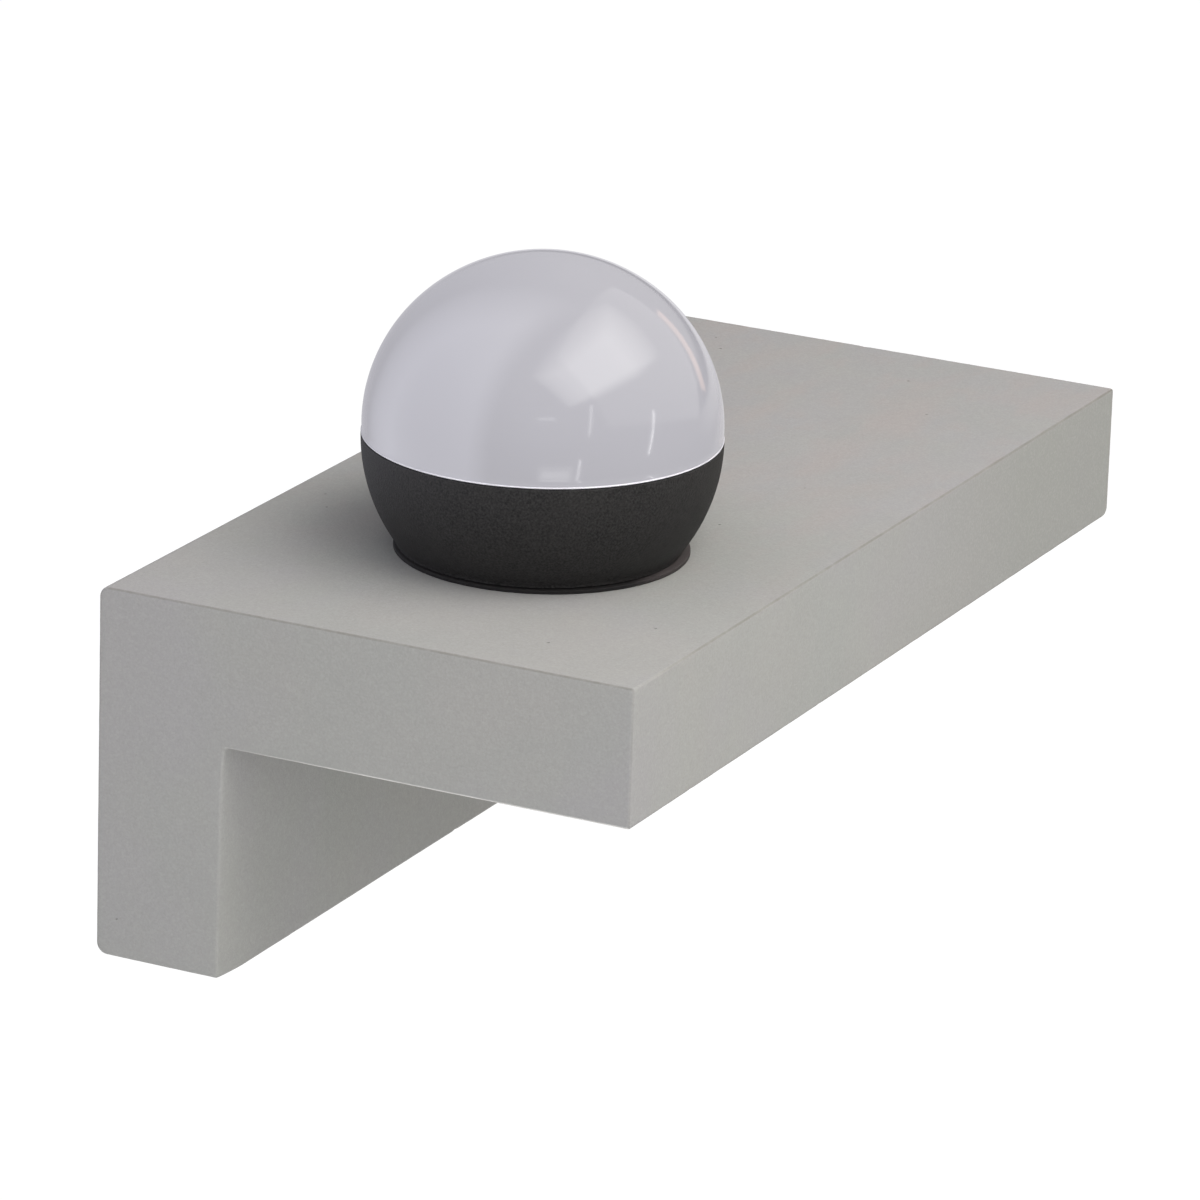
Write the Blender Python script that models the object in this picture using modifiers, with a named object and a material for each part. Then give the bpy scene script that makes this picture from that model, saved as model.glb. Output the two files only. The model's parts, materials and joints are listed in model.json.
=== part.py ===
"""Concrete wall-light shelf with a globe lamp.

An L-shaped cast concrete shelf hangs on a folded steel wall plate and carries a small ball lamp:
a black bowl below, an opal bayonet dome above, with the LED board and its driver inside.

Run with: blender --background --python part.py
Units are metres. +Z is up, the wall is the plane y = 0, and the shelf comes out towards -Y.
The origin is the middle of the wall plate's back face.
"""

import math

import bmesh
import bpy
from mathutils import Matrix, Vector

MM = 0.001
GAP = 0.3 * MM  # what touching pieces keep between them

# Concrete shelf
SHELF_LENGTH = 300 * MM
SHELF_DEPTH = 152 * MM
SHELF_HEIGHT = 100 * MM
WALL_THICKNESS = 37 * MM
ARRIS = 0.8 * MM
SHELF_TOP = SHELF_HEIGHT / 2
SLAB_UNDERSIDE = SHELF_TOP - WALL_THICKNESS
SHELF_BOTTOM = -SHELF_HEIGHT / 2

# Where the lamp stands
LAMP_FROM_END = 87 * MM
LAMP_FROM_WALL = 81 * MM
LAMP_X = LAMP_FROM_END - SHELF_LENGTH / 2
LAMP_Y = -LAMP_FROM_WALL

# Hollows cast in the concrete
RECESS_HALF_LENGTH = 93 * MM
RECESS_DEPTH = 24 * MM
RECESS_BOTTOM = -31 * MM
CHAMBER_RADIUS = 22 * MM
CHAMBER_CEILING = SHELF_TOP - 14 * MM
DUCT_RADIUS = 4.5 * MM
DUCT_Z = SLAB_UNDERSIDE + 9 * MM
NIPPLE_HOLE_RADIUS = 5.4 * MM

# Wall plate: a folded channel
PLATE_HALF_LENGTH = 85 * MM
PLATE_HALF_HEIGHT = 28 * MM
PLATE_FLANGE = 20 * MM
SHEET = 2 * MM
WALL_SLOT_X = 70 * MM
WALL_SLOT_Z = 6 * MM
LOCK_X = 55 * MM
LOCK_Y = -10 * MM
LOCK_POCKET_DEPTH = 5 * MM
LOCK_POCKET_RADIUS = 5 * MM
LOCK_HOLE_RADIUS = 3 * MM
INLET_X = 52 * MM
INLET_RADIUS = 8 * MM
RECESS_TOP = PLATE_HALF_HEIGHT + GAP

# Terminal block on the plate
POLE_PITCH = 10 * MM
MIDDLE_POLE_X = 8 * MM
POLE_XS = [MIDDLE_POLE_X + step * POLE_PITCH for step in (-1, 0, 1)]
BLOCK_LENGTH = 32 * MM
BLOCK_HEIGHT = 20 * MM
BLOCK_DEPTH = 13 * MM
BLOCK_BACK = -SHEET - GAP
BLOCK_FRONT = BLOCK_BACK - BLOCK_DEPTH
SLEEVE_Y = BLOCK_BACK - 6.2 * MM
SLEEVE_BORE = 1.9 * MM
BLOCK_SCREW_X = MIDDLE_POLE_X + POLE_PITCH / 2
CLAMP_SCREW_Z = 5.5 * MM

# Flexible cable from the plate to the lamp
FLEX_RADIUS = 2.3 * MM
CORE_RADIUS = 0.95 * MM
LEAD_RADIUS = 0.7 * MM
CLAMP_X = -38 * MM
FLEX_CLAMPED_Y = -SHEET - GAP - FLEX_RADIUS
FLEX_CLAMPED_Z = 14 * MM
FLEX_WALL_END = -28 * MM

# Ball lamp
GASKET_RADIUS = 38.6 * MM
GASKET_SHIFT = 0.9 * MM  # it lies this far off the lamp's axis, towards +X
GASKET_TOP = SHELF_TOP + 1 * MM
BALL_RADIUS = 47 * MM
BOWL_BOTTOM = GASKET_TOP + GAP
BOWL_FLOOR = BOWL_BOTTOM + 3 * MM
BOWL_FOOT_RADIUS = 37.3 * MM
BALL_CENTRE = SHELF_TOP + 30.6 * MM
BOWL_RIM = BALL_CENTRE
BOWL_INNER_RADIUS = 44.3 * MM
LIP_RADIUS = 41.8 * MM
LIP_TOP = BOWL_RIM - 1.3 * MM
LIP_BOTTOM = BOWL_RIM - 3.6 * MM
REBATE_RADIUS = 44.6 * MM
DOME_EDGE = BOWL_RIM + GAP
DOME_CENTRE = SHELF_TOP + 33.45 * MM
DOME_RADIUS = 46.85 * MM
DOME_RISE = 45.2 * MM
DOME_WALL = 2.2 * MM
COLLAR_RADIUS = LIP_RADIUS - 0.4 * MM
COLLAR_BORE = 39.6 * MM
COLLAR_BOTTOM = 74.3 * MM
LUG_TOP = LIP_BOTTOM - 0.4 * MM
LUG_REACH = 43 * MM
LUG_WIDTH = 12 * MM
LUG_ANGLES = [20, 140, 260]
UNLOCK_TURN = 30

# Threaded nipple and what it clamps
NIPPLE_RADIUS = 4.9 * MM
NIPPLE_BORE = 3.3 * MM
NIPPLE_BOTTOM = CHAMBER_CEILING - 7 * MM
NIPPLE_TOP = BOWL_FLOOR + 6.3 * MM
NUT_THICKNESS = 4 * MM

# Inside the ball
BOSS_CIRCLE = 33 * MM
BOSS_ANGLES = [90, 210, 330]
BOSS_TOP = 73 * MM
HEAT_PLATE_RADIUS = 38.8 * MM
HEAT_PLATE_BOTTOM = BOSS_TOP + GAP
HEAT_PLATE_TOP = HEAT_PLATE_BOTTOM + 1.5 * MM
BOARD_RADIUS = 30 * MM
BOARD_BOTTOM = HEAT_PLATE_TOP + GAP
BOARD_TOP = BOARD_BOTTOM + 1.6 * MM
BOARD_SCREW_CIRCLE = 26 * MM
BOARD_SCREW_ANGLES = [0, 180]
LEAD_HOLE = (30.4 * MM, 14.2 * MM)
LED_CIRCLE = 18 * MM
LED_COUNT = 8
DRIVER_V = 19.8 * MM
DRIVER_SIZE = (38 * MM, 18 * MM, 15 * MM)
DRIVER_SCREW_U = 22.5 * MM
PILOT_RADIUS = 1.5 * MM

ROUND_STEPS = 48
SMALL_STEPS = 16
SCREW_STEPS = 8

assembly = None
cutters = None


# ---------------------------------------------------------------- scene and materials


def clear_scene():
    """Remove whatever the opened file holds."""
    for thing in list(bpy.data.objects):
        bpy.data.objects.remove(thing, do_unlink=True)


def make_collection(name):
    collection = bpy.data.collections.new(name)
    bpy.context.scene.collection.children.link(collection)
    return collection


def make_material(name, colour, roughness, metallic=0.0, transmission=0.0):
    """A Principled BSDF with one colour and finish."""
    material = bpy.data.materials.new(name)
    material.use_nodes = True
    shader = material.node_tree.nodes["Principled BSDF"]
    shader.inputs["Base Color"].default_value = (*colour, 1.0)
    shader.inputs["Roughness"].default_value = roughness
    shader.inputs["Metallic"].default_value = metallic
    shader.inputs["Transmission Weight"].default_value = transmission
    material.diffuse_color = (*colour, 1.0)
    return material


def make_materials():
    return {
        "concrete": make_material("concrete", (0.36, 0.36, 0.33), 0.9),
        "zinc": make_material("zinc", (0.62, 0.63, 0.65), 0.35, 1.0),
        "brass": make_material("brass", (0.72, 0.55, 0.25), 0.35, 1.0),
        "black_shell": make_material("black_shell", (0.035, 0.034, 0.033), 0.62),
        "opal": make_material("opal", (0.78, 0.77, 0.82), 0.12, 0.0, 0.15),
        "rubber": make_material("rubber", (0.05, 0.05, 0.05), 0.8),
        "white_plastic": make_material("white_plastic", (0.75, 0.75, 0.72), 0.4),
        "grey_plastic": make_material("grey_plastic", (0.3, 0.3, 0.29), 0.6),
        "cable_black": make_material("cable_black", (0.03, 0.03, 0.03), 0.5),
        "core_brown": make_material("core_brown", (0.16, 0.07, 0.03), 0.45),
        "core_blue": make_material("core_blue", (0.03, 0.10, 0.40), 0.45),
        "core_red": make_material("core_red", (0.45, 0.03, 0.03), 0.45),
        "aluminium": make_material("aluminium", (0.78, 0.79, 0.80), 0.3, 1.0),
        "board": make_material("board", (0.85, 0.85, 0.83), 0.35),
        "led": make_material("led", (0.85, 0.72, 0.25), 0.3),
    }


# ---------------------------------------------------------------- building blocks


def place(data, name, material=None, location=(0, 0, 0), rotation=(0, 0, 0)):
    """Put data in the assembly, or among the cutters when it has no material."""
    thing = bpy.data.objects.new(name, data)
    thing.location = location
    thing.rotation_euler = rotation
    if material:
        data.materials.append(material)
        assembly.objects.link(thing)
    else:
        cutters.objects.link(thing)
        thing.hide_render = True
        thing.display_type = "WIRE"
    return thing


def turned(name, material, profile, location, rotation=(0, 0, 0), steps=ROUND_STEPS, closed=True):
    """A solid of revolution about local Z. The profile's (radius, height) points run down the
    outer side first; an open profile starts and ends on the axis."""
    mesh = bpy.data.meshes.new(name)
    edges = [(i, i + 1) for i in range(len(profile) - 1)]
    if closed:
        edges.append((len(profile) - 1, 0))
    mesh.from_pydata([(radius, 0, height) for radius, height in profile], edges, [])
    thing = place(mesh, name, material, location, rotation)
    screw = thing.modifiers.new("turn", "SCREW")
    screw.axis = "Z"
    screw.steps = steps
    screw.render_steps = steps
    screw.use_smooth_shade = True
    screw.use_merge_vertices = True
    screw.merge_threshold = 0.00001
    return thing


def arc(centre, radius_x, radius_z, start, end, count):
    """Points on an ellipse in the (radius, height) plane, from start to end degrees."""
    points = []
    for i in range(count + 1):
        angle = math.radians(start + (end - start) * i / count)
        points.append((centre[0] + radius_x * math.cos(angle), centre[1] + radius_z * math.sin(angle)))
    return points


def circle_points(centre, radius, count):
    step = math.tau / count
    return [
        (centre[0] + radius * math.cos(i * step), centre[1] + radius * math.sin(i * step))
        for i in range(count)
    ]


def flat_piece(name, material, outlines, thickness, location, rotation=(0, 0, 0)):
    """A flat outline with its holes, as a 2D curve extruded both ways from its middle plane."""
    curve = bpy.data.curves.new(name, "CURVE")
    curve.dimensions = "2D"
    curve.fill_mode = "BOTH"
    curve.extrude = thickness / 2
    for outline in outlines:
        spline = curve.splines.new("POLY")
        spline.points.add(len(outline) - 1)
        for point, (x, y) in zip(spline.points, outline):
            point.co = (x, y, 0, 1)
        spline.use_cyclic_u = True
    return place(curve, name, material, location, rotation)


def as_mesh(thing):
    """Turn a curve object into a mesh object, with its caps welded on, so that it can be cut."""
    bpy.context.view_layer.update()
    evaluated = thing.evaluated_get(bpy.context.evaluated_depsgraph_get())
    mesh = bpy.data.meshes.new_from_object(evaluated)
    work = bmesh.new()
    work.from_mesh(mesh)
    bmesh.ops.remove_doubles(work, verts=work.verts, dist=0.000001)
    bmesh.ops.recalc_face_normals(work, faces=work.faces)
    work.to_mesh(mesh)
    work.free()
    name = thing.name
    matrix = thing.matrix_world.copy()
    bpy.data.objects.remove(thing, do_unlink=True)
    made = bpy.data.objects.new(name, mesh)
    made.matrix_world = matrix
    assembly.objects.link(made)
    return made


def box_at(low, high):
    """A box for solids(), from its lowest to its highest corner."""
    return ("box", Vector(low), Vector(high), Matrix())


def rod_at(start, end, radius, steps=SMALL_STEPS):
    """A cylinder for solids(), from start to end."""
    return ("rod", Vector(start), Vector(end), radius, steps)


def turned_box(low, high, matrix):
    """A box given in a turned frame."""
    return ("box", Vector(low), Vector(high), matrix)


def add_box(work, low, high, matrix):
    middle = Matrix.Translation((low + high) / 2)
    size = Matrix.Diagonal((*(high - low), 1))
    bmesh.ops.create_cube(work, size=1, matrix=matrix @ middle @ size)


def add_rod(work, start, end, radius, steps):
    along = end - start
    turn = along.to_track_quat("Z", "Y").to_matrix().to_4x4()
    matrix = Matrix.Translation((start + end) / 2) @ turn
    bmesh.ops.create_cone(
        work,
        cap_ends=True,
        segments=steps,
        radius1=radius,
        radius2=radius,
        depth=along.length,
        matrix=matrix,
    )


def solids(name, shapes, material=None):
    """One object made of boxes and rods."""
    work = bmesh.new()
    for kind, *values in shapes:
        if kind == "box":
            add_box(work, *values)
        else:
            add_rod(work, *values)
    bmesh.ops.recalc_face_normals(work, faces=work.faces)
    mesh = bpy.data.meshes.new(name)
    work.to_mesh(mesh)
    work.free()
    return place(mesh, name, material)


def combine(thing, operation, shapes):
    """Cut the shapes from the object, or join them to it."""
    tool = solids(f"{thing.name}_{operation.lower()}_{len(thing.modifiers)}", shapes)
    boolean = thing.modifiers.new(operation.lower(), "BOOLEAN")
    boolean.operation = operation
    boolean.solver = "EXACT"
    boolean.object = tool


def cut(thing, shapes):
    combine(thing, "DIFFERENCE", shapes)


def join(thing, shapes):
    combine(thing, "UNION", shapes)


def soften(thing, width, segments=2):
    bevel = thing.modifiers.new("soft_edges", "BEVEL")
    bevel.width = width
    bevel.segments = segments
    bevel.limit_method = "ANGLE"
    bevel.angle_limit = math.radians(50)


def smooth_route(points, spacing):
    """Points about one spacing apart on a smooth curve through the given points."""
    knots = [Vector(p) for p in points]
    ends = [2 * knots[0] - knots[1]] + knots + [2 * knots[-1] - knots[-2]]
    route = []
    for before, start, end, after in zip(ends, ends[1:], ends[2:], ends[3:]):
        count = max(1, round((end - start).length / spacing))
        for i in range(count):
            t = i / count
            pull = (end - before) * t + (2 * before - 5 * start + 4 * end - after) * t**2
            pull += (3 * start - before - 3 * end + after) * t**3
            route.append(start + pull / 2)
    route.append(knots[-1])
    return route


def cable(name, material, points, radius, spacing):
    """A round cable along a smooth route."""
    curve = bpy.data.curves.new(name, "CURVE")
    curve.dimensions = "3D"
    curve.bevel_depth = radius
    curve.bevel_resolution = 2
    curve.use_fill_caps = True
    spline = curve.splines.new("POLY")
    route = smooth_route(points, spacing)
    spline.points.add(len(route) - 1)
    for point, place_on_route in zip(spline.points, route):
        point.co = (*place_on_route, 1)
    return place(curve, name, material)


def screw_profile(head_radius, head_height, shank_radius, shank_length, socket=None):
    """A screw with its head above the origin and its shank below. The socket is (radius, depth)."""
    top = [(0, head_height)]
    if socket:
        top = [(0, head_height - socket[1]), (socket[0], head_height - socket[1]), (socket[0], head_height)]
    return top + [
        (head_radius, head_height),
        (head_radius, 0),
        (shank_radius, 0),
        (shank_radius, -shank_length),
        (0, -shank_length),
    ]


def screw(name, material, seat, direction, head, shank, socket=(0.8 * MM, 1 * MM)):
    """A screw whose head rests on seat and points along direction. head is (radius, height) and
    shank is (radius, length)."""
    turn = Vector(direction).to_track_quat("Z", "Y").to_euler()
    profile = screw_profile(*head, *shank, socket)
    return turned(name, material, profile, seat, turn, SCREW_STEPS, closed=False)


def in_lamp(u, v, z):
    """A point given from the lamp's axis."""
    return (LAMP_X + u, LAMP_Y + v, z)


def on_circle(radius, degrees, z):
    angle = math.radians(degrees)
    return in_lamp(radius * math.cos(angle), radius * math.sin(angle), z)


def lamp_turn(degrees):
    """The lamp's own frame, turned about its axis."""
    return Matrix.Translation((LAMP_X, LAMP_Y, 0)) @ Matrix.Rotation(math.radians(degrees), 4, "Z")


# ---------------------------------------------------------------- concrete and wall fixing


def concrete_bracket(materials):
    """The L-shaped casting: slab and wall leg, with the back recess, cable duct and lamp hole."""
    half = SHELF_LENGTH / 2
    slab = box_at((-half, -SHELF_DEPTH, SLAB_UNDERSIDE), (half, 0, SHELF_TOP))
    casting = solids("concrete_bracket", [slab], materials["concrete"])
    leg = box_at((-half, -WALL_THICKNESS, SHELF_BOTTOM), (half, 0, SLAB_UNDERSIDE + 5 * MM))
    join(casting, [leg])
    soften(casting, ARRIS)
    recess = box_at(
        (-RECESS_HALF_LENGTH, -RECESS_DEPTH, RECESS_BOTTOM),
        (RECESS_HALF_LENGTH, 5 * MM, RECESS_TOP),
    )
    below = SLAB_UNDERSIDE - 5 * MM
    chamber = rod_at(in_lamp(0, 0, below), in_lamp(0, 0, CHAMBER_CEILING), CHAMBER_RADIUS, 40)
    lamp_hole = rod_at(
        in_lamp(0, 0, CHAMBER_CEILING - 2 * MM), in_lamp(0, 0, SHELF_TOP + 2 * MM), NIPPLE_HOLE_RADIUS
    )
    duct = rod_at((LAMP_X, LAMP_Y, DUCT_Z), (LAMP_X, -RECESS_DEPTH + 2 * MM, DUCT_Z), DUCT_RADIUS)
    cut(casting, [recess])
    cut(casting, [chamber])
    cut(casting, [lamp_hole, duct])
    pocket_top = SHELF_BOTTOM + LOCK_POCKET_DEPTH
    cut(casting, lock_rods(SHELF_BOTTOM - 2 * MM, pocket_top, LOCK_POCKET_RADIUS))
    cut(casting, lock_rods(pocket_top - 2 * MM, RECESS_BOTTOM + 2 * MM, LOCK_HOLE_RADIUS))


def lock_rods(low, high, radius):
    """A rod on each lock screw's axis."""
    return [rod_at((x, LOCK_Y, low), (x, LOCK_Y, high), radius) for x in (-LOCK_X, LOCK_X)]


def channel_outline():
    """The wall plate's section in (z, -y): a web with a flange folded forward at each end."""
    high = PLATE_HALF_HEIGHT
    outer = 3 * MM
    inner = outer - SHEET
    low_corner = (-high + outer, outer)
    high_corner = (high - outer, outer)
    points = [(-high, PLATE_FLANGE)]
    points += arc(low_corner, outer, outer, 180, 270, 4)
    points += arc(high_corner, outer, outer, 270, 360, 4)
    points += [(high, PLATE_FLANGE), (high - SHEET, PLATE_FLANGE)]
    points += arc(high_corner, inner, inner, 360, 270, 4)
    points += arc(low_corner, inner, inner, 270, 180, 4)
    points += [(-high + SHEET, PLATE_FLANGE)]
    return points


def slot_shapes(x, z, half_width, radius):
    """A horizontal slot through the web, as two rods and a box."""
    front, back = -SHEET - 1 * MM, 1 * MM
    left, right = x - half_width, x + half_width
    return [
        rod_at((left, front, z), (left, back, z), radius),
        box_at((left, front, z - radius), (right, back, z + radius)),
        rod_at((right, front, z), (right, back, z), radius),
    ]


def wall_plate(materials):
    """The steel channel screwed to the wall. The shelf hangs on its top flange."""
    frame = Matrix(((0, 0, 1), (0, -1, 0), (1, 0, 0))).to_euler()
    channel = flat_piece(
        "wall_plate", materials["zinc"], [channel_outline()], 2 * PLATE_HALF_LENGTH, (0, 0, 0), frame
    )
    channel = as_mesh(channel)
    through = (-SHEET - 1 * MM, 1 * MM)
    for x in (-WALL_SLOT_X, WALL_SLOT_X):
        for shape in slot_shapes(x, WALL_SLOT_Z, 3.5 * MM, 2.75 * MM):
            cut(channel, [shape])
    holes = [rod_at((INLET_X, through[0], 0), (INLET_X, through[1], 0), INLET_RADIUS, 24)]
    holes.append(rod_at((BLOCK_SCREW_X, through[0], 0), (BLOCK_SCREW_X, through[1], 0), PILOT_RADIUS))
    for z in clamp_screw_heights():
        holes.append(rod_at((CLAMP_X, through[0], z), (CLAMP_X, through[1], z), PILOT_RADIUS))
    flange = -PLATE_HALF_HEIGHT
    holes += lock_rods(flange - 1 * MM, flange + SHEET + 1 * MM, 3.6 * MM)
    cut(channel, holes)


def lock_fixings(materials):
    """Rivet nuts in the plate's bottom flange, and the screws that lock the shelf to it."""
    flange = -PLATE_HALF_HEIGHT
    bore = 2.7 * MM
    nut = [
        (bore, 12 * MM),
        (3.3 * MM, 12 * MM),
        (3.3 * MM, SHEET + 3 * MM),
        (4.4 * MM, SHEET + 2 * MM),
        (4.4 * MM, SHEET + GAP),
        (3.3 * MM, SHEET + GAP),
        (3.3 * MM, -GAP),
        (4.8 * MM, -GAP),
        (4.8 * MM, -1 * MM),
        (bore, -1 * MM),
    ]
    seat = SHELF_BOTTOM + LOCK_POCKET_DEPTH - GAP
    for side, x in (("left", -LOCK_X), ("right", LOCK_X)):
        turned(f"rivet_nut_{side}", materials["zinc"], nut, (x, LOCK_Y, flange), steps=SMALL_STEPS)
        screw(
            f"lock_screw_{side}",
            materials["zinc"],
            (x, LOCK_Y, seat),
            (0, 0, -1),
            (4.5 * MM, 4.3 * MM),
            (2.4 * MM, 24 * MM),
            (2 * MM, 2.4 * MM),
        )


def cable_grommet(materials):
    """The rubber bush in the plate's cable hole."""
    hub = INLET_RADIUS - GAP
    bore = 4 * MM
    front = SHEET + GAP
    profile = [
        (bore, front + 1.8 * MM),
        (9.4 * MM, front + 1.8 * MM),
        (10 * MM, front + 1.2 * MM),
        (10 * MM, front),
        (hub, front),
        (hub, 0.2 * MM),
        (bore, 0.2 * MM),
    ]
    turned("cable_grommet", materials["rubber"], profile, (INLET_X, 0, 0), (math.radians(90), 0, 0), 24)


# ---------------------------------------------------------------- terminals and cables


def terminal_block(materials):
    """A three-pole terminal block with brass sleeves, their clamping screws and one fixing screw."""
    half = BLOCK_LENGTH / 2
    low = (MIDDLE_POLE_X - half, BLOCK_FRONT, -BLOCK_HEIGHT / 2)
    high = (MIDDLE_POLE_X + half, BLOCK_BACK, BLOCK_HEIGHT / 2)
    block = solids("terminal_block", [box_at(low, high)], materials["white_plastic"])
    reach = BLOCK_HEIGHT / 2 + 1 * MM
    bores = [rod_at((x, SLEEVE_Y, -reach), (x, SLEEVE_Y, reach), 3.1 * MM, 12) for x in POLE_XS]
    front = BLOCK_FRONT - 1 * MM
    wells = [
        rod_at((x, front, z), (x, SLEEVE_Y, z), 1.9 * MM, 12)
        for x in POLE_XS
        for z in (-CLAMP_SCREW_Z, CLAMP_SCREW_Z)
    ]
    fixing = rod_at((BLOCK_SCREW_X, front, 0), (BLOCK_SCREW_X, BLOCK_BACK + 1 * MM, 0), 1.6 * MM, 12)
    saw_cuts = [
        box_at((x + side, front, z), (x + side + 0.8 * MM, BLOCK_FRONT + 3 * MM, z + 4 * MM))
        for x in POLE_XS[:2]
        for side, z in ((4.6 * MM, 7 * MM), (4.6 * MM, -11 * MM))
    ]
    cut(block, bores)
    cut(block, wells)
    cut(block, [fixing, *saw_cuts])
    screw(
        "terminal_block_screw",
        materials["zinc"],
        (BLOCK_SCREW_X, BLOCK_FRONT - GAP, 0),
        (0, -1, 0),
        (2.1 * MM, 1.6 * MM),
        (1.2 * MM, 15 * MM),
    )
    for pole, x in enumerate(POLE_XS, start=1):
        terminal_sleeve(f"terminal_sleeve_{pole}", materials["brass"], x)
        for row, z in enumerate((-CLAMP_SCREW_Z, CLAMP_SCREW_Z)):
            screw(
                f"terminal_screw_{2 * pole - 1 + row}",
                materials["zinc"],
                (x, SLEEVE_Y - 2.8 * MM - 1.2 * MM, z),
                (0, -1, 0),
                (1.6 * MM, 1.4 * MM),
                (1.4 * MM, 2.4 * MM),
            )


def terminal_sleeve(name, material, x):
    """A brass tube with two side holes for its screws."""
    half = 9 * MM
    profile = [(SLEEVE_BORE, half), (2.8 * MM, half), (2.8 * MM, -half), (SLEEVE_BORE, -half)]
    sleeve = turned(name, material, profile, (x, SLEEVE_Y, 0), steps=12)
    side_holes = [
        rod_at((x, SLEEVE_Y - 5 * MM, z), (x, SLEEVE_Y, z), 1.7 * MM, 8)
        for z in (-CLAMP_SCREW_Z, CLAMP_SCREW_Z)
    ]
    cut(sleeve, side_holes)


def clamp_screw_heights():
    return (FLEX_CLAMPED_Z - 7 * MM, FLEX_CLAMPED_Z + 7 * MM)


def cable_clamp(materials):
    """A saddle that holds the flex against the wall plate, with its two screws."""
    back = -GAP
    thickness = 1.2 * MM
    inner = FLEX_RADIUS + GAP
    centre = (0, -GAP - FLEX_RADIUS)
    foot = 10 * MM
    root = math.degrees(math.asin((inner - thickness) / (inner + thickness)))
    saddle = [(-foot, back), (-foot, back - thickness)]
    saddle += arc(centre, inner + thickness, inner + thickness, 180 - root, 360 + root, 10)
    saddle += [(foot, back - thickness), (foot, back), (inner, back)]
    saddle += arc(centre, inner, inner, 360, 180, 10)
    saddle += [(-inner, back)]
    frame = Matrix(((0, 0, 1), (0, 1, 0), (-1, 0, 0))).to_euler()
    width = 8 * MM
    place_at = (CLAMP_X, -SHEET, FLEX_CLAMPED_Z)
    clamp = as_mesh(flat_piece("cable_clamp", materials["zinc"], [saddle], width, place_at, frame))
    holes = [
        rod_at((CLAMP_X, -SHEET - 4 * MM, z), (CLAMP_X, 0, z), 1.6 * MM, 12) for z in clamp_screw_heights()
    ]
    cut(clamp, holes)
    head, shank = (2.2 * MM, 1.6 * MM), (1.2 * MM, 3 * MM)
    for number, z in enumerate(clamp_screw_heights(), start=1):
        seat = (CLAMP_X, -SHEET - GAP - thickness - GAP, z)
        screw(f"clamp_screw_{number}", materials["zinc"], seat, (0, -1, 0), head, shank)


def supply_flex(materials):
    """The sheathed two-core flex from the clamp, through the duct and up the nipple."""
    bend = 10 * MM
    sag = DUCT_Z - 2.6 * MM
    points = [
        in_lamp(0, 0, flex_top()),
        in_lamp(0, 0, NIPPLE_TOP),
        in_lamp(0, 0, sag + bend + 2 * MM),
        in_lamp(0, 0.4 * MM, sag + 0.72 * bend),
        in_lamp(0, 2.93 * MM, sag + 0.293 * bend),
        in_lamp(0, 7.2 * MM, sag + 0.04 * bend),
        in_lamp(0, 12 * MM, sag + 0.3 * MM),
        in_lamp(0, 20 * MM, DUCT_Z - 0.2 * MM),
        in_lamp(0, 30 * MM, DUCT_Z),
        (LAMP_X, -26 * MM, DUCT_Z),
        (LAMP_X, -18.5 * MM, DUCT_Z - 0.8 * MM),
        (LAMP_X + 1.6 * MM, -12 * MM, DUCT_Z - 3 * MM),
        (LAMP_X + 6.5 * MM, -6.8 * MM, DUCT_Z - 5.8 * MM),
        (LAMP_X + 14 * MM, FLEX_CLAMPED_Y, FLEX_CLAMPED_Z + 0.4 * MM),
        (CLAMP_X - 4 * MM, FLEX_CLAMPED_Y, FLEX_CLAMPED_Z),
        (FLEX_WALL_END, FLEX_CLAMPED_Y, FLEX_CLAMPED_Z),
    ]
    cable("supply_flex", materials["cable_black"], points, FLEX_RADIUS, 5 * MM)


def flex_top():
    return NIPPLE_TOP + 4.9 * MM


def terminal_cores(materials):
    """The flex's two cores, from the sheath's end to the first two poles."""
    start = FLEX_WALL_END + 0.5 * MM
    core_y = SLEEVE_Y + 0.4 * MM
    near, far = POLE_XS[:2]
    inside = BLOCK_HEIGHT / 2 - 5 * MM
    low = FLEX_CLAMPED_Z - 1.2 * MM
    high = FLEX_CLAMPED_Z + 1.2 * MM
    near_route = [
        (start, FLEX_CLAMPED_Y, low),
        (-18 * MM, FLEX_CLAMPED_Y - 1.6 * MM, low + 0.6 * MM),
        (near - 8.5 * MM, core_y, 15.8 * MM),
        (near - 3.6 * MM, core_y, 16.2 * MM),
        (near - 0.7 * MM, core_y, 13.8 * MM),
        (near, core_y, 10 * MM),
        (near, core_y, inside),
    ]
    far_route = [
        (start, FLEX_CLAMPED_Y, high),
        (-20 * MM, FLEX_CLAMPED_Y - 1.4 * MM, high + 2.6 * MM),
        (near - 5 * MM, core_y, 20.6 * MM),
        (near + 4.5 * MM, core_y, 20.6 * MM),
        (far - 1.4 * MM, core_y, 16.6 * MM),
        (far, core_y, 11 * MM),
        (far, core_y, inside),
    ]
    cable("terminal_core_brown", materials["core_brown"], near_route, CORE_RADIUS, 3 * MM)
    cable("terminal_core_blue", materials["core_blue"], far_route, CORE_RADIUS, 3 * MM)


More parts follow.
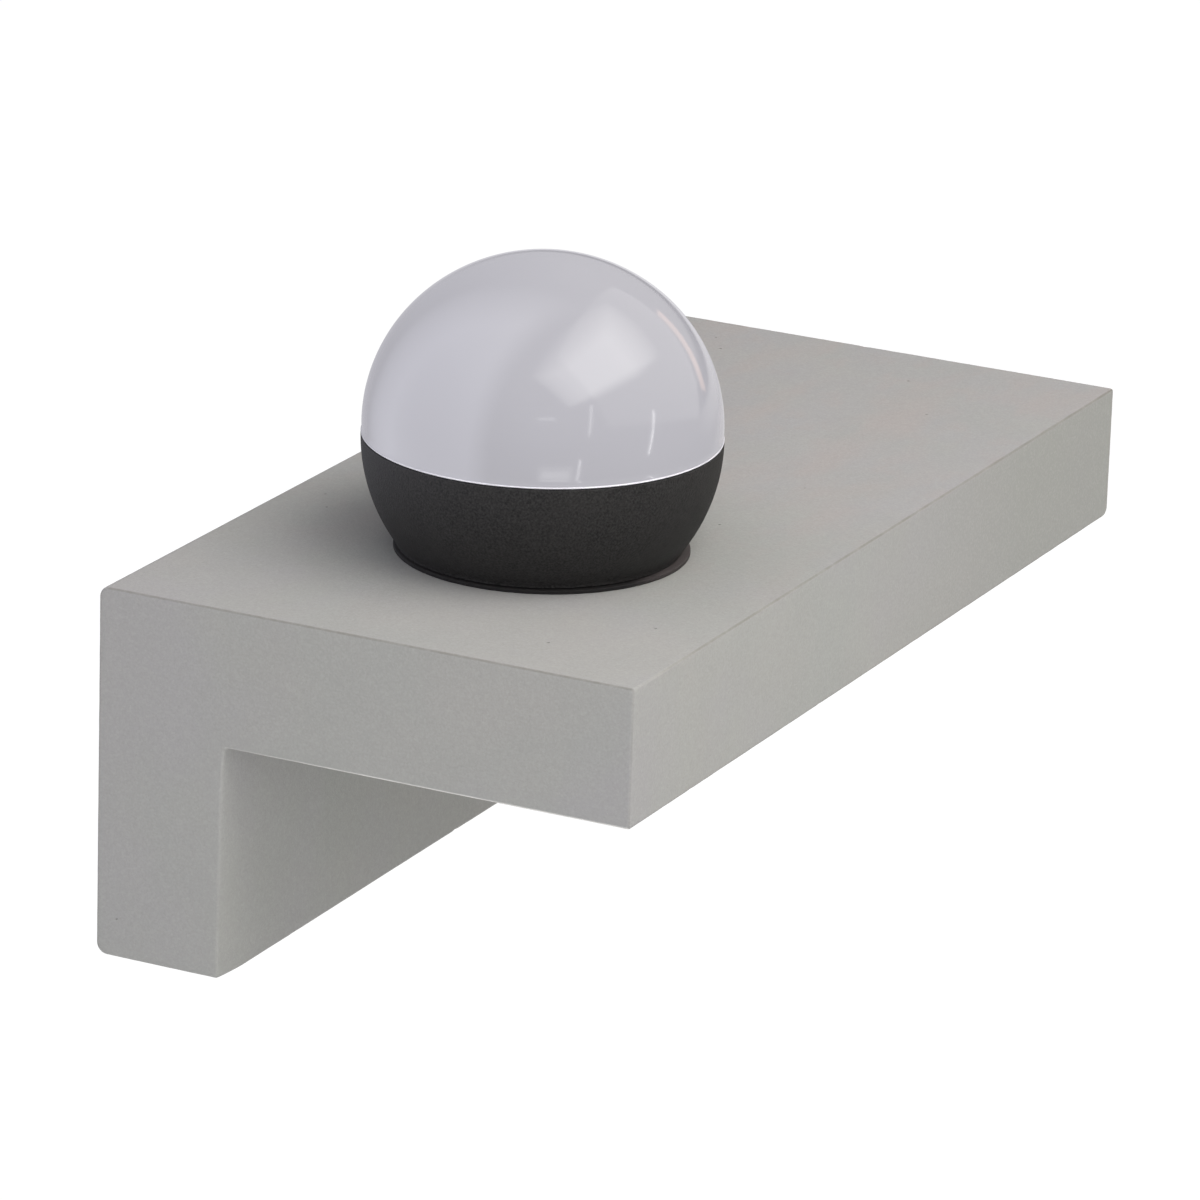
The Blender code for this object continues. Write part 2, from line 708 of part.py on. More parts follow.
def driver_cores(materials):
    """The flex's two cores, from the cord grip over to the driver's input end."""
    top = flex_top() + GAP
    end_u = -DRIVER_SIZE[0] / 2 - GAP
    for name, side, material in (("brown", -1, "core_brown"), ("blue", 1, "core_blue")):
        apart = side * 1.3 * MM
        points = [
            in_lamp(apart, 0, top),
            in_lamp(apart - 0.3 * MM, 0.1 * MM, top + 1.8 * MM + apart / 2),
            in_lamp(apart / 3 - 3.6 * MM, 0.6 * MM, top + 3.7 * MM + apart),
            in_lamp(-13 * MM, 4.4 * MM, 69.5 * MM + apart),
            in_lamp(-22.4 * MM, 9 * MM, 67.8 * MM + apart),
            in_lamp(-27.4 * MM, 14 * MM, 65.2 * MM + apart),
            in_lamp(-26.2 * MM, 18.4 * MM, 62.8 * MM + apart),
            in_lamp(end_u, DRIVER_V, 61.8 * MM + apart),
        ]
        cable(f"driver_core_{name}", materials[material], points, CORE_RADIUS * 0.9, 2.6 * MM)


def led_leads(materials):
    """The two leads from the driver's output end, through the heat plate, to the LED board."""
    start_u = DRIVER_SIZE[0] / 2 + GAP
    hole_u, hole_v = LEAD_HOLE
    for name, shift, material in (("red", -1.1 * MM, "core_red"), ("black", 1.1 * MM, "cable_black")):
        points = [
            in_lamp(start_u, DRIVER_V + shift, 62 * MM),
            in_lamp(start_u + 5 * MM, DRIVER_V - 0.6 * MM + shift, 62.6 * MM),
            in_lamp(hole_u - 1.2 * MM, hole_v + 2.6 * MM + shift, 65.8 * MM),
            in_lamp(hole_u, hole_v + shift, 70.5 * MM),
            in_lamp(hole_u, hole_v + shift, 76 * MM),
            in_lamp(hole_u - 1.8 * MM, hole_v - 0.7 * MM + shift, 79 * MM),
            in_lamp(hole_u - 5 * MM, hole_v - 2 * MM + shift, 79.2 * MM),
            in_lamp(hole_u - 7.4 * MM, hole_v - 3 * MM + shift, BOARD_TOP + LEAD_RADIUS + 0.9 * MM),
        ]
        cable(f"led_lead_{name}", materials[material], points, LEAD_RADIUS, 2.4 * MM)


# ---------------------------------------------------------------- lamp


def base_gasket(materials):
    """The flat rubber gasket between the bowl and the slab."""
    bottom, top = SHELF_TOP + GAP, GASKET_TOP
    edge = 0.2 * MM
    bore = 11 * MM
    profile = [
        (bore, top),
        (GASKET_RADIUS - edge, top),
        (GASKET_RADIUS, top - edge),
        (GASKET_RADIUS, bottom),
        (bore, bottom),
    ]
    turned("base_gasket", materials["rubber"], profile, in_lamp(GASKET_SHIFT, 0, 0))


def bowl_profile():
    """The bowl's section: the ball's lower half on a low straight foot, a flat floor, and a lip and
    rebate at the rim."""
    foot_angle = -math.degrees(math.acos(BOWL_FOOT_RADIUS / BALL_RADIUS))
    points = arc((0, BALL_CENTRE), BALL_RADIUS, BALL_RADIUS, 0, foot_angle, 10)
    points += [(BOWL_FOOT_RADIUS, BOWL_BOTTOM)]
    points += [(NIPPLE_HOLE_RADIUS, BOWL_BOTTOM), (NIPPLE_HOLE_RADIUS, BOWL_FLOOR)]
    floor_angle = -math.degrees(math.asin((BALL_CENTRE - BOWL_FLOOR) / BOWL_INNER_RADIUS))
    lip_angle = -math.degrees(math.asin((BALL_CENTRE - LIP_BOTTOM) / BOWL_INNER_RADIUS))
    points += arc((0, BALL_CENTRE), BOWL_INNER_RADIUS, BOWL_INNER_RADIUS, floor_angle, lip_angle, 6)
    points += [
        (LIP_RADIUS, LIP_BOTTOM),
        (LIP_RADIUS, LIP_TOP),
        (REBATE_RADIUS, LIP_TOP),
        (REBATE_RADIUS, BOWL_RIM),
    ]
    return points


def lamp_bowl(materials):
    """The black bowl, with bosses for the heat plate and a bayonet track under its lip."""
    bowl = turned("lamp_bowl", materials["black_shell"], bowl_profile(), in_lamp(0, 0, 0))
    bosses = []
    stops = []
    cuts = []
    for angle in BOSS_ANGLES:
        foot = on_circle(BOSS_CIRCLE, angle, BOWL_FLOOR - 0.5 * MM)
        top = on_circle(BOSS_CIRCLE, angle, BOSS_TOP)
        bosses.append(rod_at(foot, top, 3.5 * MM))
        pilot = on_circle(BOSS_CIRCLE, angle, BOSS_TOP - 9 * MM)
        cuts.append(rod_at(pilot, on_circle(BOSS_CIRCLE, angle, BOSS_TOP + 1 * MM), PILOT_RADIUS, 12))
    half_slot = LUG_WIDTH / 2 + 1 * MM
    stop_angle = math.degrees((LUG_WIDTH / 2 + 2 * MM) / LUG_REACH)
    for angle in LUG_ANGLES:
        low = (LIP_RADIUS - 1 * MM, -half_slot, LIP_BOTTOM - 1 * MM)
        high = (REBATE_RADIUS - 0.6 * MM, half_slot, LIP_TOP + 1 * MM)
        cuts.append(turned_box(low, high, lamp_turn(angle + UNLOCK_TURN)))
        stop_low = (LIP_RADIUS + 0.3 * MM, -1.5 * MM, LIP_BOTTOM - 3.6 * MM)
        stop_high = (REBATE_RADIUS, 1.5 * MM, LIP_BOTTOM + 0.5 * MM)
        stops.append(turned_box(stop_low, stop_high, lamp_turn(angle - stop_angle)))
    for u in (-DRIVER_SCREW_U, DRIVER_SCREW_U):
        bottom = in_lamp(u, DRIVER_V, BOWL_FLOOR - 2.2 * MM)
        cuts.append(rod_at(bottom, in_lamp(u, DRIVER_V, BOWL_FLOOR + 1 * MM), PILOT_RADIUS, 12))
    join(bowl, bosses)
    join(bowl, stops)
    cut(bowl, cuts)


def dome_profile():
    """The opal dome's section: a slightly flattened half ball with a bead at its edge and a
    collar that goes down inside the bowl."""
    centre = (0, DOME_CENTRE)
    points = arc(centre, DOME_RADIUS, DOME_RISE, 90, 0, 13)
    points += [
        (DOME_RADIUS - 0.05 * MM, DOME_EDGE + 0.7 * MM),
        (BALL_RADIUS, DOME_EDGE + 0.5 * MM),
        (BALL_RADIUS, DOME_EDGE),
        (COLLAR_RADIUS, DOME_EDGE),
        (COLLAR_RADIUS, COLLAR_BOTTOM),
        (COLLAR_BORE, COLLAR_BOTTOM),
        (COLLAR_BORE, DOME_EDGE + DOME_WALL),
    ]
    points += arc(centre, DOME_RADIUS - DOME_WALL, DOME_RISE - DOME_WALL, 4, 90, 7)
    points[0] = (0, DOME_CENTRE + DOME_RISE)
    points[-1] = (0, DOME_CENTRE + DOME_RISE - DOME_WALL)
    return points


def opal_dome(materials):
    """The dome, with three lugs that turn under the bowl's lip. Its origin is on the turning axis."""
    dome = turned("opal_dome", materials["opal"], dome_profile(), in_lamp(0, 0, 0), closed=False)
    lugs = []
    for angle in LUG_ANGLES:
        low = (COLLAR_BORE + 0.6 * MM, -LUG_WIDTH / 2, COLLAR_BOTTOM)
        lugs.append(turned_box(low, (LUG_REACH, LUG_WIDTH / 2, LUG_TOP), lamp_turn(angle)))
    join(dome, lugs)


def dome_seal(materials):
    """The flat silicone ring in the rim's rebate."""
    inner, outer = LIP_RADIUS + 0.4 * MM, REBATE_RADIUS - GAP
    low, high = LIP_TOP + GAP, BOWL_RIM
    profile = [(inner, high), (outer, high), (outer, low), (inner, low)]
    turned("dome_seal", materials["rubber"], profile, in_lamp(0, 0, 0))


def hex_nut(name, material, across_flats, bottom):
    corner = across_flats / math.sqrt(3)
    outlines = [circle_points((0, 0), corner, 6), circle_points((0, 0), NIPPLE_RADIUS + GAP, SMALL_STEPS)]
    flat_piece(name, material, outlines, NUT_THICKNESS, in_lamp(0, 0, bottom + NUT_THICKNESS / 2))


def washer(name, material, radius, bottom, thickness):
    bore = NIPPLE_RADIUS + GAP
    top = bottom + thickness
    profile = [(bore, top), (radius, top), (radius, bottom), (bore, bottom)]
    turned(name, material, profile, in_lamp(0, 0, 0), steps=24)


def nipple_set(materials):
    """The hollow threaded nipple that clamps the lamp to the slab, with its nuts and washers."""
    tube = [
        (NIPPLE_BORE, NIPPLE_TOP),
        (NIPPLE_RADIUS, NIPPLE_TOP),
        (NIPPLE_RADIUS, NIPPLE_BOTTOM),
        (NIPPLE_BORE, NIPPLE_BOTTOM),
    ]
    turned("threaded_nipple", materials["zinc"], tube, in_lamp(0, 0, 0), steps=24)
    upper_washer = BOWL_FLOOR + GAP
    washer("upper_washer", materials["zinc"], 10 * MM, upper_washer, 1.2 * MM)
    hex_nut("upper_nut", materials["brass"], 14 * MM, upper_washer + 1.2 * MM + GAP)
    lower_washer = CHAMBER_CEILING - GAP - 1.5 * MM
    washer("lower_washer", materials["zinc"], 15 * MM, lower_washer, 1.5 * MM)
    hex_nut("lower_nut", materials["brass"], 14 * MM, lower_washer - GAP - NUT_THICKNESS)


def underside_cap(materials):
    """The snap-in cap that closes the fixing chamber under the slab."""
    rim = CHAMBER_RADIUS - 0.4 * MM
    bottom = SLAB_UNDERSIDE + 0.4 * MM
    skirt_top = bottom + 5.4 * MM
    skirt_bore = rim - 1.4 * MM
    profile = [
        (0, bottom + 2 * MM),
        (skirt_bore, bottom + 2 * MM),
        (skirt_bore, skirt_top),
        (rim - 0.4 * MM, skirt_top),
        (rim, skirt_top - 1 * MM),
        (rim, bottom + 0.5 * MM),
        (rim - 0.5 * MM, bottom),
        (0, bottom),
    ]
    turned("underside_cap", materials["grey_plastic"], profile, in_lamp(0, 0, 0), steps=40, closed=False)


def cord_grip(materials):
    """The grip on top of the nipple that takes the pull off the cores, with its grub screw."""
    bottom, top = NIPPLE_TOP + GAP, NIPPLE_TOP + 4.4 * MM
    bore, radius = FLEX_RADIUS + GAP, 6 * MM
    chamfer = 0.5 * MM
    profile = [
        (bore, top),
        (radius - chamfer, top),
        (radius, top - chamfer),
        (radius, bottom),
        (bore, bottom),
    ]
    grip = turned("cord_grip", materials["white_plastic"], profile, in_lamp(0, 0, 0), steps=20)
    middle = (bottom + top) / 2
    cut(grip, [rod_at(in_lamp(0, -bore / 2, middle), in_lamp(0, -radius - 1 * MM, middle), 1.3 * MM, 10)])
    seat = in_lamp(0, -radius, middle)
    head, shank, socket = (1 * MM, 0.8 * MM), (1 * MM, 3 * MM), (0.5 * MM, 0.5 * MM)
    screw("cord_grip_screw", materials["zinc"], seat, (0, -1, 0), head, shank, socket)


def driver_module(materials):
    """The potted LED driver with a fixing ear at each end, and its two screws."""
    bottom = BOWL_FLOOR + GAP
    half_u, half_v = DRIVER_SIZE[0] / 2, DRIVER_SIZE[1] / 2
    low = in_lamp(-half_u, DRIVER_V - half_v, bottom + 0.5 * MM)
    high = in_lamp(half_u, DRIVER_V + half_v, bottom + DRIVER_SIZE[2])
    driver = solids("driver_module", [box_at(low, high)], materials["white_plastic"])
    soften(driver, 0.8 * MM)
    ear = DRIVER_SCREW_U + 3 * MM
    low = in_lamp(-ear, DRIVER_V - 4 * MM, bottom)
    high = in_lamp(ear, DRIVER_V + 4 * MM, bottom + 1.5 * MM)
    join(driver, [box_at(low, high)])
    holes = []
    head, shank = (2.2 * MM, 1.4 * MM), (1.2 * MM, 3.6 * MM)
    for number, u in enumerate((-DRIVER_SCREW_U, DRIVER_SCREW_U), start=1):
        hole_bottom = in_lamp(u, DRIVER_V, bottom - 1 * MM)
        holes.append(rod_at(hole_bottom, in_lamp(u, DRIVER_V, bottom + 3 * MM), 1.6 * MM, 12))
        seat = in_lamp(u, DRIVER_V, bottom + 1.5 * MM + GAP)
        screw(f"driver_screw_{number}", materials["zinc"], seat, (0, 0, 1), head, shank)
    cut(driver, holes)


def ring_of_holes(circle, angles, radius):
    """Round outlines on a circle about the middle."""
    holes = []
    for angle in angles:
        turn = math.radians(angle)
        centre = (circle * math.cos(turn), circle * math.sin(turn))
        holes.append(circle_points(centre, radius, 12))
    return holes


def heat_plate(materials):
    """The aluminium disc on the bowl's bosses, with its three screws."""
    thickness = HEAT_PLATE_TOP - HEAT_PLATE_BOTTOM
    outlines = [circle_points((0, 0), HEAT_PLATE_RADIUS, ROUND_STEPS)]
    outlines.append(circle_points(LEAD_HOLE, 3.2 * MM, 12))
    outlines += ring_of_holes(BOSS_CIRCLE, BOSS_ANGLES, 1.6 * MM)
    outlines += ring_of_holes(BOARD_SCREW_CIRCLE, BOARD_SCREW_ANGLES, PILOT_RADIUS)
    middle = in_lamp(0, 0, HEAT_PLATE_BOTTOM + thickness / 2)
    flat_piece("heat_plate", materials["aluminium"], outlines, thickness, middle)
    head, shank = (2.3 * MM, 1.5 * MM), (1.2 * MM, 9 * MM)
    for number, angle in enumerate(BOSS_ANGLES, start=1):
        seat = on_circle(BOSS_CIRCLE, angle, HEAT_PLATE_TOP + GAP)
        screw(f"heat_plate_screw_{number}", materials["zinc"], seat, (0, 0, 1), head, shank)


def led_board(materials):
    """The round LED board with its two screws and a ring of LEDs."""
    thickness = BOARD_TOP - BOARD_BOTTOM
    outlines = [circle_points((0, 0), BOARD_RADIUS, 40)]
    outlines += ring_of_holes(BOARD_SCREW_CIRCLE, BOARD_SCREW_ANGLES, 1.6 * MM)
    middle = in_lamp(0, 0, BOARD_BOTTOM + thickness / 2)
    flat_piece("led_board", materials["board"], outlines, thickness, middle)
    head, shank = (2.2 * MM, 1.4 * MM), (1.2 * MM, 3.4 * MM)
    for number, angle in enumerate(BOARD_SCREW_ANGLES, start=1):
        seat = on_circle(BOARD_SCREW_CIRCLE, angle, BOARD_TOP + GAP)
        screw(f"board_screw_{number}", materials["zinc"], seat, (0, 0, 1), head, shank)
    half = (1.75 * MM, 1.4 * MM)
    low_z, high_z = BOARD_TOP + GAP, BOARD_TOP + GAP + 0.8 * MM
    for number in range(LED_COUNT):
        angle = 360 * number / LED_COUNT
        low = (LED_CIRCLE - half[0], -half[1], low_z)
        high = (LED_CIRCLE + half[0], half[1], high_z)
        solids(f"led_{number + 1}", [turned_box(low, high, lamp_turn(angle))], materials["led"])


def main():
    global assembly, cutters
    clear_scene()
    assembly = make_collection("wall_light_shelf")
    cutters = make_collection("cutters")
    materials = make_materials()
    concrete_bracket(materials)
    wall_plate(materials)
    lock_fixings(materials)
    cable_grommet(materials)
    terminal_block(materials)
    cable_clamp(materials)
    supply_flex(materials)
    terminal_cores(materials)
    underside_cap(materials)
    nipple_set(materials)
    base_gasket(materials)
    lamp_bowl(materials)
    cord_grip(materials)
    driver_module(materials)
    driver_cores(materials)
    heat_plate(materials)
    led_board(materials)
    led_leads(materials)
    dome_seal(materials)
    opal_dome(materials)


main()
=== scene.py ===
"""Concrete wall-light shelf with a ball lamp: its looks, its studio and its camera.

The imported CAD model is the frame, and the main sizes and places below are read from its boxes and its
joint. The casting, gasket, bowl and dome are made again here with smooth curves and worn arrises, and
the fixings that show from behind and below get rounded edges. The other CAD nodes keep their shape and
get their finish here.
Units are metres. +Z is up, the wall is y = 0, and the shelf comes out towards -Y.
"""

import json
import math

import bmesh
import bpy
from mathutils import Matrix, Vector, noise


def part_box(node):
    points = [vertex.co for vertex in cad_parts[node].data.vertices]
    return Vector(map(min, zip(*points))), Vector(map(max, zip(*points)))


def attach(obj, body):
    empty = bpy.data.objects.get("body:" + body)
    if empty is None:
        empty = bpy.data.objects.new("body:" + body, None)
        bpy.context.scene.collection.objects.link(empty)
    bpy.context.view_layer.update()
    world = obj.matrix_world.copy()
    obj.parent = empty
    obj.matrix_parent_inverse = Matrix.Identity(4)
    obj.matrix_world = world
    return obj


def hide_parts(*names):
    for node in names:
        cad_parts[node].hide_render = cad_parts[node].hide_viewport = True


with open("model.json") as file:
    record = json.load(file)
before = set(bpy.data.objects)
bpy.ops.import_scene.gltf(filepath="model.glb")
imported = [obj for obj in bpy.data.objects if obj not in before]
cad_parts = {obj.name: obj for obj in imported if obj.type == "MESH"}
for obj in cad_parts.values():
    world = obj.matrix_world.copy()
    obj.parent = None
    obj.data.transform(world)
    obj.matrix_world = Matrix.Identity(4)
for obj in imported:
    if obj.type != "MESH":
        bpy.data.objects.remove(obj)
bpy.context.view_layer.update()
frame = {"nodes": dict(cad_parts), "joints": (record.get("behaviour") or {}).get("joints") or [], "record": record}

MM = 0.001
SHELF = "shelf"
DOME = "dome"


def centre_of(node):
    """The middle of a CAD node's box."""
    low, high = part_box(node)
    return (low + high) / 2


# Camera: where it stands, the point it looks at, and its roll in degrees
CAMERA_AT = Vector((-1.7276, -0.9191, 0.6597))
CAMERA_AIM = Vector((-0.026194, -0.080879, 0.02519))
CAMERA_ROLL = 1.8189
CAMERA_LENS_MM = 226.77
SENSOR_MM = 36.0

# Casting: an L-shaped section along X, with a recess in its back for the wall plate
SHELF_LOW, SHELF_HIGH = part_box("concrete_bracket")
LENGTH = SHELF_HIGH.x - SHELF_LOW.x
END = LENGTH / 2
FRONT = SHELF_LOW.y
TOP = SHELF_HIGH.z
BOTTOM = SHELF_LOW.z
THICKNESS = 37 * MM
UNDERSIDE = TOP - THICKNESS
LEG_FRONT = -THICKNESS
ARRIS = 0.7 * MM
INNER_ARRIS = 1.2 * MM
WALL_ARRIS = 2.8 * MM
FOOT_ARRIS = 3 * MM
FAR_ARRIS = 4 * MM
END_ARRIS = 0.7 * MM
LEG_WORN_WIDTH = 13 * MM
LEG_WORN_DEPTH = (0.5 * MM, 1.2 * MM)
RECESS_HALF_LENGTH = 93 * MM
RECESS_DEPTH = 24 * MM
RECESS_BOTTOM = -31 * MM
RECESS_TOP = 28.3 * MM
CHAMBER_RADIUS = 22 * MM
CHAMBER_TOP = 36 * MM
DUCT_RADIUS = 4.5 * MM
DUCT_HEIGHT = 22 * MM
PAST = 2 * MM  # how far a cut runs on past a face

# Ball lamp: its axis is the dome's joint
LAMP = Vector((*frame["joints"][0]["pos_m"][:2], 0))
GASKET_LOW, GASKET_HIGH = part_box("base_gasket")
BOWL_LOW, BOWL_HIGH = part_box("lamp_bowl")
DOME_LOW, DOME_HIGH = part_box("opal_dome")
GASKET_RADIUS = (GASKET_HIGH.x - GASKET_LOW.x) / 2
GASKET_BORE = 11 * MM
GASKET_SHIFT = Vector((0.6 * MM, -0.4 * MM, 0))
GASKET_TOP = GASKET_HIGH.z
BALL_RADIUS = (BOWL_HIGH.x - BOWL_LOW.x) / 2
BOWL_BOTTOM = BOWL_LOW.z
BOWL_RIM = BOWL_HIGH.z
BOWL_FLOOR = BOWL_BOTTOM + 3 * MM
BOWL_FOOT_RADIUS = 37.3 * MM
BOWL_INNER = 44.3 * MM
HOLE_RADIUS = 5.4 * MM
LIP_RADIUS = 41.8 * MM
LIP_TOP = BOWL_RIM - 1.3 * MM
LIP_BOTTOM = BOWL_RIM - 3.6 * MM
REBATE_RADIUS = 44.6 * MM
DOME_EDGE = BOWL_RIM + 0.3 * MM
DOME_RADIUS = BALL_RADIUS - 0.15 * MM
DOME_RISE = 45.2 * MM
DOME_CENTRE = DOME_HIGH.z - DOME_RISE
DOME_WALL = 2.2 * MM
BEAD = 0.21 * MM
BEAD_START = 80
COLLAR_RADIUS = LIP_RADIUS - 0.4 * MM
COLLAR_BORE = 39.6 * MM
COLLAR_BOTTOM = DOME_LOW.z
LUG_TOP = LIP_BOTTOM - 0.4 * MM
LUG_REACH = 43 * MM
LUG_WIDTH = 12 * MM
LUG_ANGLES = (20, 140, 260)
UNLOCK_TURN = 30
HEAT_PLATE_SCREWS = [centre_of(f"heat_plate_screw_{number}") for number in (1, 2, 3)]
DRIVER_SCREWS = [centre_of(f"driver_screw_{number}") for number in (1, 2)]
BOSS_RADIUS = 3.5 * MM
BOSS_TOP = 73 * MM
PILOT_RADIUS = 1.5 * MM

# Fixings that show from behind and below
PLATE_LOW, PLATE_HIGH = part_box("wall_plate")
SHEET = 2 * MM
PLATE_FOLD = 3 * MM
WALL_SLOTS = (-70 * MM, 70 * MM)
WALL_SLOT_Z = 6 * MM
WALL_SLOT_HALF_LENGTH = 3.5 * MM
WALL_SLOT_RADIUS = 2.75 * MM
PLATE_SCREWS = [centre_of(name) for name in ("terminal_block_screw", "clamp_screw_1", "clamp_screw_2")]
INLET = centre_of("cable_grommet")
INLET_RADIUS = 8 * MM
LOCK_SCREWS = {name: centre_of(name) for name in ("lock_screw_left", "lock_screw_right")}
LOCK_HEAD = 4.3 * MM
LOCK_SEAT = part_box("lock_screw_left")[0].z + LOCK_HEAD
LOCK_HOLE_RADIUS = 3.6 * MM
LOCK_POCKET_RADIUS = 5 * MM
LOCK_POCKET_TOP = LOCK_SEAT + 0.3 * MM
LOCK_BORE_RADIUS = 3 * MM
CAP_LOW, CAP_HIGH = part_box("underside_cap")

ROUND_STEPS = 144
SMALL_ROUND_STEPS = 72
ROD_SIDES = 64


# ---------------------------------------------------------------- materials


class Nodes:
    """A short way to write a node material, or the world."""

    def __init__(self, name, kind="materials", shader="Principled BSDF", coords="Object"):
        self.material = getattr(bpy.data, kind).new(name)
        self.material.use_nodes = True
        self.tree = self.material.node_tree
        self.shader = self.tree.nodes[shader]
        self.coords = self.add("ShaderNodeTexCoord").outputs[coords]

    def add(self, kind, inputs=None, **settings):
        node = self.tree.nodes.new(kind)
        for name, value in settings.items():
            setattr(node, name, value)
        for name, value in (inputs or {}).items():
            self.put(node.inputs[name], value)
        return node

    def put(self, socket, value):
        if isinstance(value, bpy.types.NodeSocket):
            self.tree.links.new(value, socket)
        else:
            socket.default_value = value

    def set(self, **values):
        """Put values or links on the shader's own sockets."""
        for name, value in values.items():
            self.put(self.shader.inputs[name.replace("_", " ")], value)

    def stretched(self, scale):
        return self.add("ShaderNodeMapping", {"Vector": self.coords, "Scale": scale}).outputs["Vector"]

    def noise(self, scale, detail=2.0, rough=0.5, coords=None, twist=0.0):
        values = {"Vector": coords or self.coords, "Scale": scale, "Detail": detail, "Roughness": rough}
        values["Distortion"] = twist
        return self.add("ShaderNodeTexNoise", values).outputs["Fac"]

    def cells(self, scale, output="Distance", feature="F1"):
        values = {"Vector": self.coords, "Scale": scale}
        return self.add("ShaderNodeTexVoronoi", values, feature=feature).outputs[output]

    def remap(self, value, low, high, to_low=0.0, to_high=1.0):
        values = {"Value": value, "From Min": low, "From Max": high, "To Min": to_low, "To Max": to_high}
        return self.add("ShaderNodeMapRange", values).outputs["Result"]

    def math(self, operation, first, second=0.0):
        node = self.add("ShaderNodeMath", operation=operation)
        self.put(node.inputs[0], first)
        self.put(node.inputs[1], second)
        return node.outputs["Value"]

    def mix(self, factor, first, second):
        """Mix two colours."""
        node = self.add("ShaderNodeMix", data_type="RGBA")
        self.put(node.inputs[0], factor)
        self.put(node.inputs[6], first)
        self.put(node.inputs[7], second)
        return node.outputs[2]

    def blend(self, factor, first, second):
        """Mix two plain numbers."""
        node = self.add("ShaderNodeMix", data_type="FLOAT")
        self.put(node.inputs[0], factor)
        self.put(node.inputs[2], first)
        self.put(node.inputs[3], second)
        return node.outputs[0]

    def bump(self, height, distance, strength, after=None):
        values = {"Height": height, "Distance": distance, "Strength": strength}
        if after:
            values["Normal"] = after
        return self.add("ShaderNodeBump", values).outputs["Normal"]


def concrete_tone(n, patches):
    """The cast tone: cloudy, a little greenish, and cooler in places. Towards the far end the top has warm stains,
    and the slab's front is painted darker as painted shade where the light falls off."""
    x, _, z = n.add("ShaderNodeSeparateXYZ", {"Vector": n.coords}).outputs
    normal = n.add("ShaderNodeNewGeometry").outputs["Normal"]
    up = n.add("ShaderNodeSeparateXYZ", {"Vector": normal}).outputs["Z"]
    far_top = n.math("MULTIPLY", n.remap(x, -110 * MM, 60 * MM, 0.1, 1.0), n.remap(up, 0.2, 0.8, 0.2, 1.0))
    slab_side = n.math("MULTIPLY", n.remap(up, 0.8, 0.2), n.remap(z, 5 * MM, 15 * MM))
    # Painted shade: the slab's front darkens towards the far end, where the light falls off
    painted_far_front_shade = n.math("MULTIPLY", n.remap(x, -10 * MM, 90 * MM, 0.0, 0.75), slab_side)
    clouds = n.noise(13, 3, 0.55, twist=0.6)
    cool = n.noise(17, 3, 0.55, coords=n.stretched((1.0, 1.0, 0.7)))
    tone = n.mix(n.remap(clouds, 0.36, 0.64), (0.343, 0.348, 0.329, 1), (0.361, 0.353, 0.334, 1))
    tone = n.mix(n.remap(patches, 0.42, 0.7, 0, 0.5), tone, (0.330, 0.332, 0.314, 1))
    tone = n.mix(n.remap(cool, 0.45, 0.62, 0, 0.75), tone, (0.352, 0.343, 0.346, 1))
    stain = n.noise(19, 2, 0.5, coords=n.stretched((1.0, 2.6, 1.0)))
    stain = n.math("MULTIPLY", n.remap(stain, 0.5, 0.68, 0, 0.8), far_top)
    tone = n.mix(stain, tone, (0.380, 0.342, 0.324, 1))
    rosy = n.noise(85, 3, 0.6, coords=n.stretched((1.0, 1.6, 1.0)))
    rosy = n.math("MULTIPLY", n.remap(rosy, 0.5, 0.66, 0, 0.6), far_top)
    tone = n.mix(rosy, tone, (0.374, 0.342, 0.326, 1))
    return n.mix(painted_far_front_shade, tone, (0.300, 0.304, 0.278, 1))


def concrete_pinholes(n):
    """1 in a few scattered pinholes, and 0 around them."""
    spot = n.cells(170)
    choice = n.add("ShaderNodeSeparateColor", {"Color": n.cells(170, "Color")}).outputs["Green"]
    return n.math("MULTIPLY", n.remap(spot, 0.075, 0.035), n.remap(choice, 0.9, 0.92))


def concrete_painted_arris_lines(n, tone):
    """Dark lines of painted shade and light lines of painted highlight along the arrises, over a tone, broken up
    by noise.
    """
    painted_arris_tone = n.add("ShaderNodeAttribute", attribute_name="arris").outputs["Fac"]
    worn = n.remap(n.noise(170, 4, 0.7), 0.34, 0.6, 0.62, 1.0)
    # Painted shade: dark lines along the arrises, broken up by the worn noise
    dark = n.math("MULTIPLY", n.remap(painted_arris_tone, 0.1, 0.55), worn)
    tone = n.mix(n.math("MULTIPLY", dark, 0.6), tone, (0.15, 0.138, 0.115, 1))
    # Painted highlight: light lines along the arrises
    light = n.math("MULTIPLY", n.remap(painted_arris_tone, -0.05, -0.5), worn)
    return n.mix(light, tone, (0.72, 0.71, 0.68, 1))


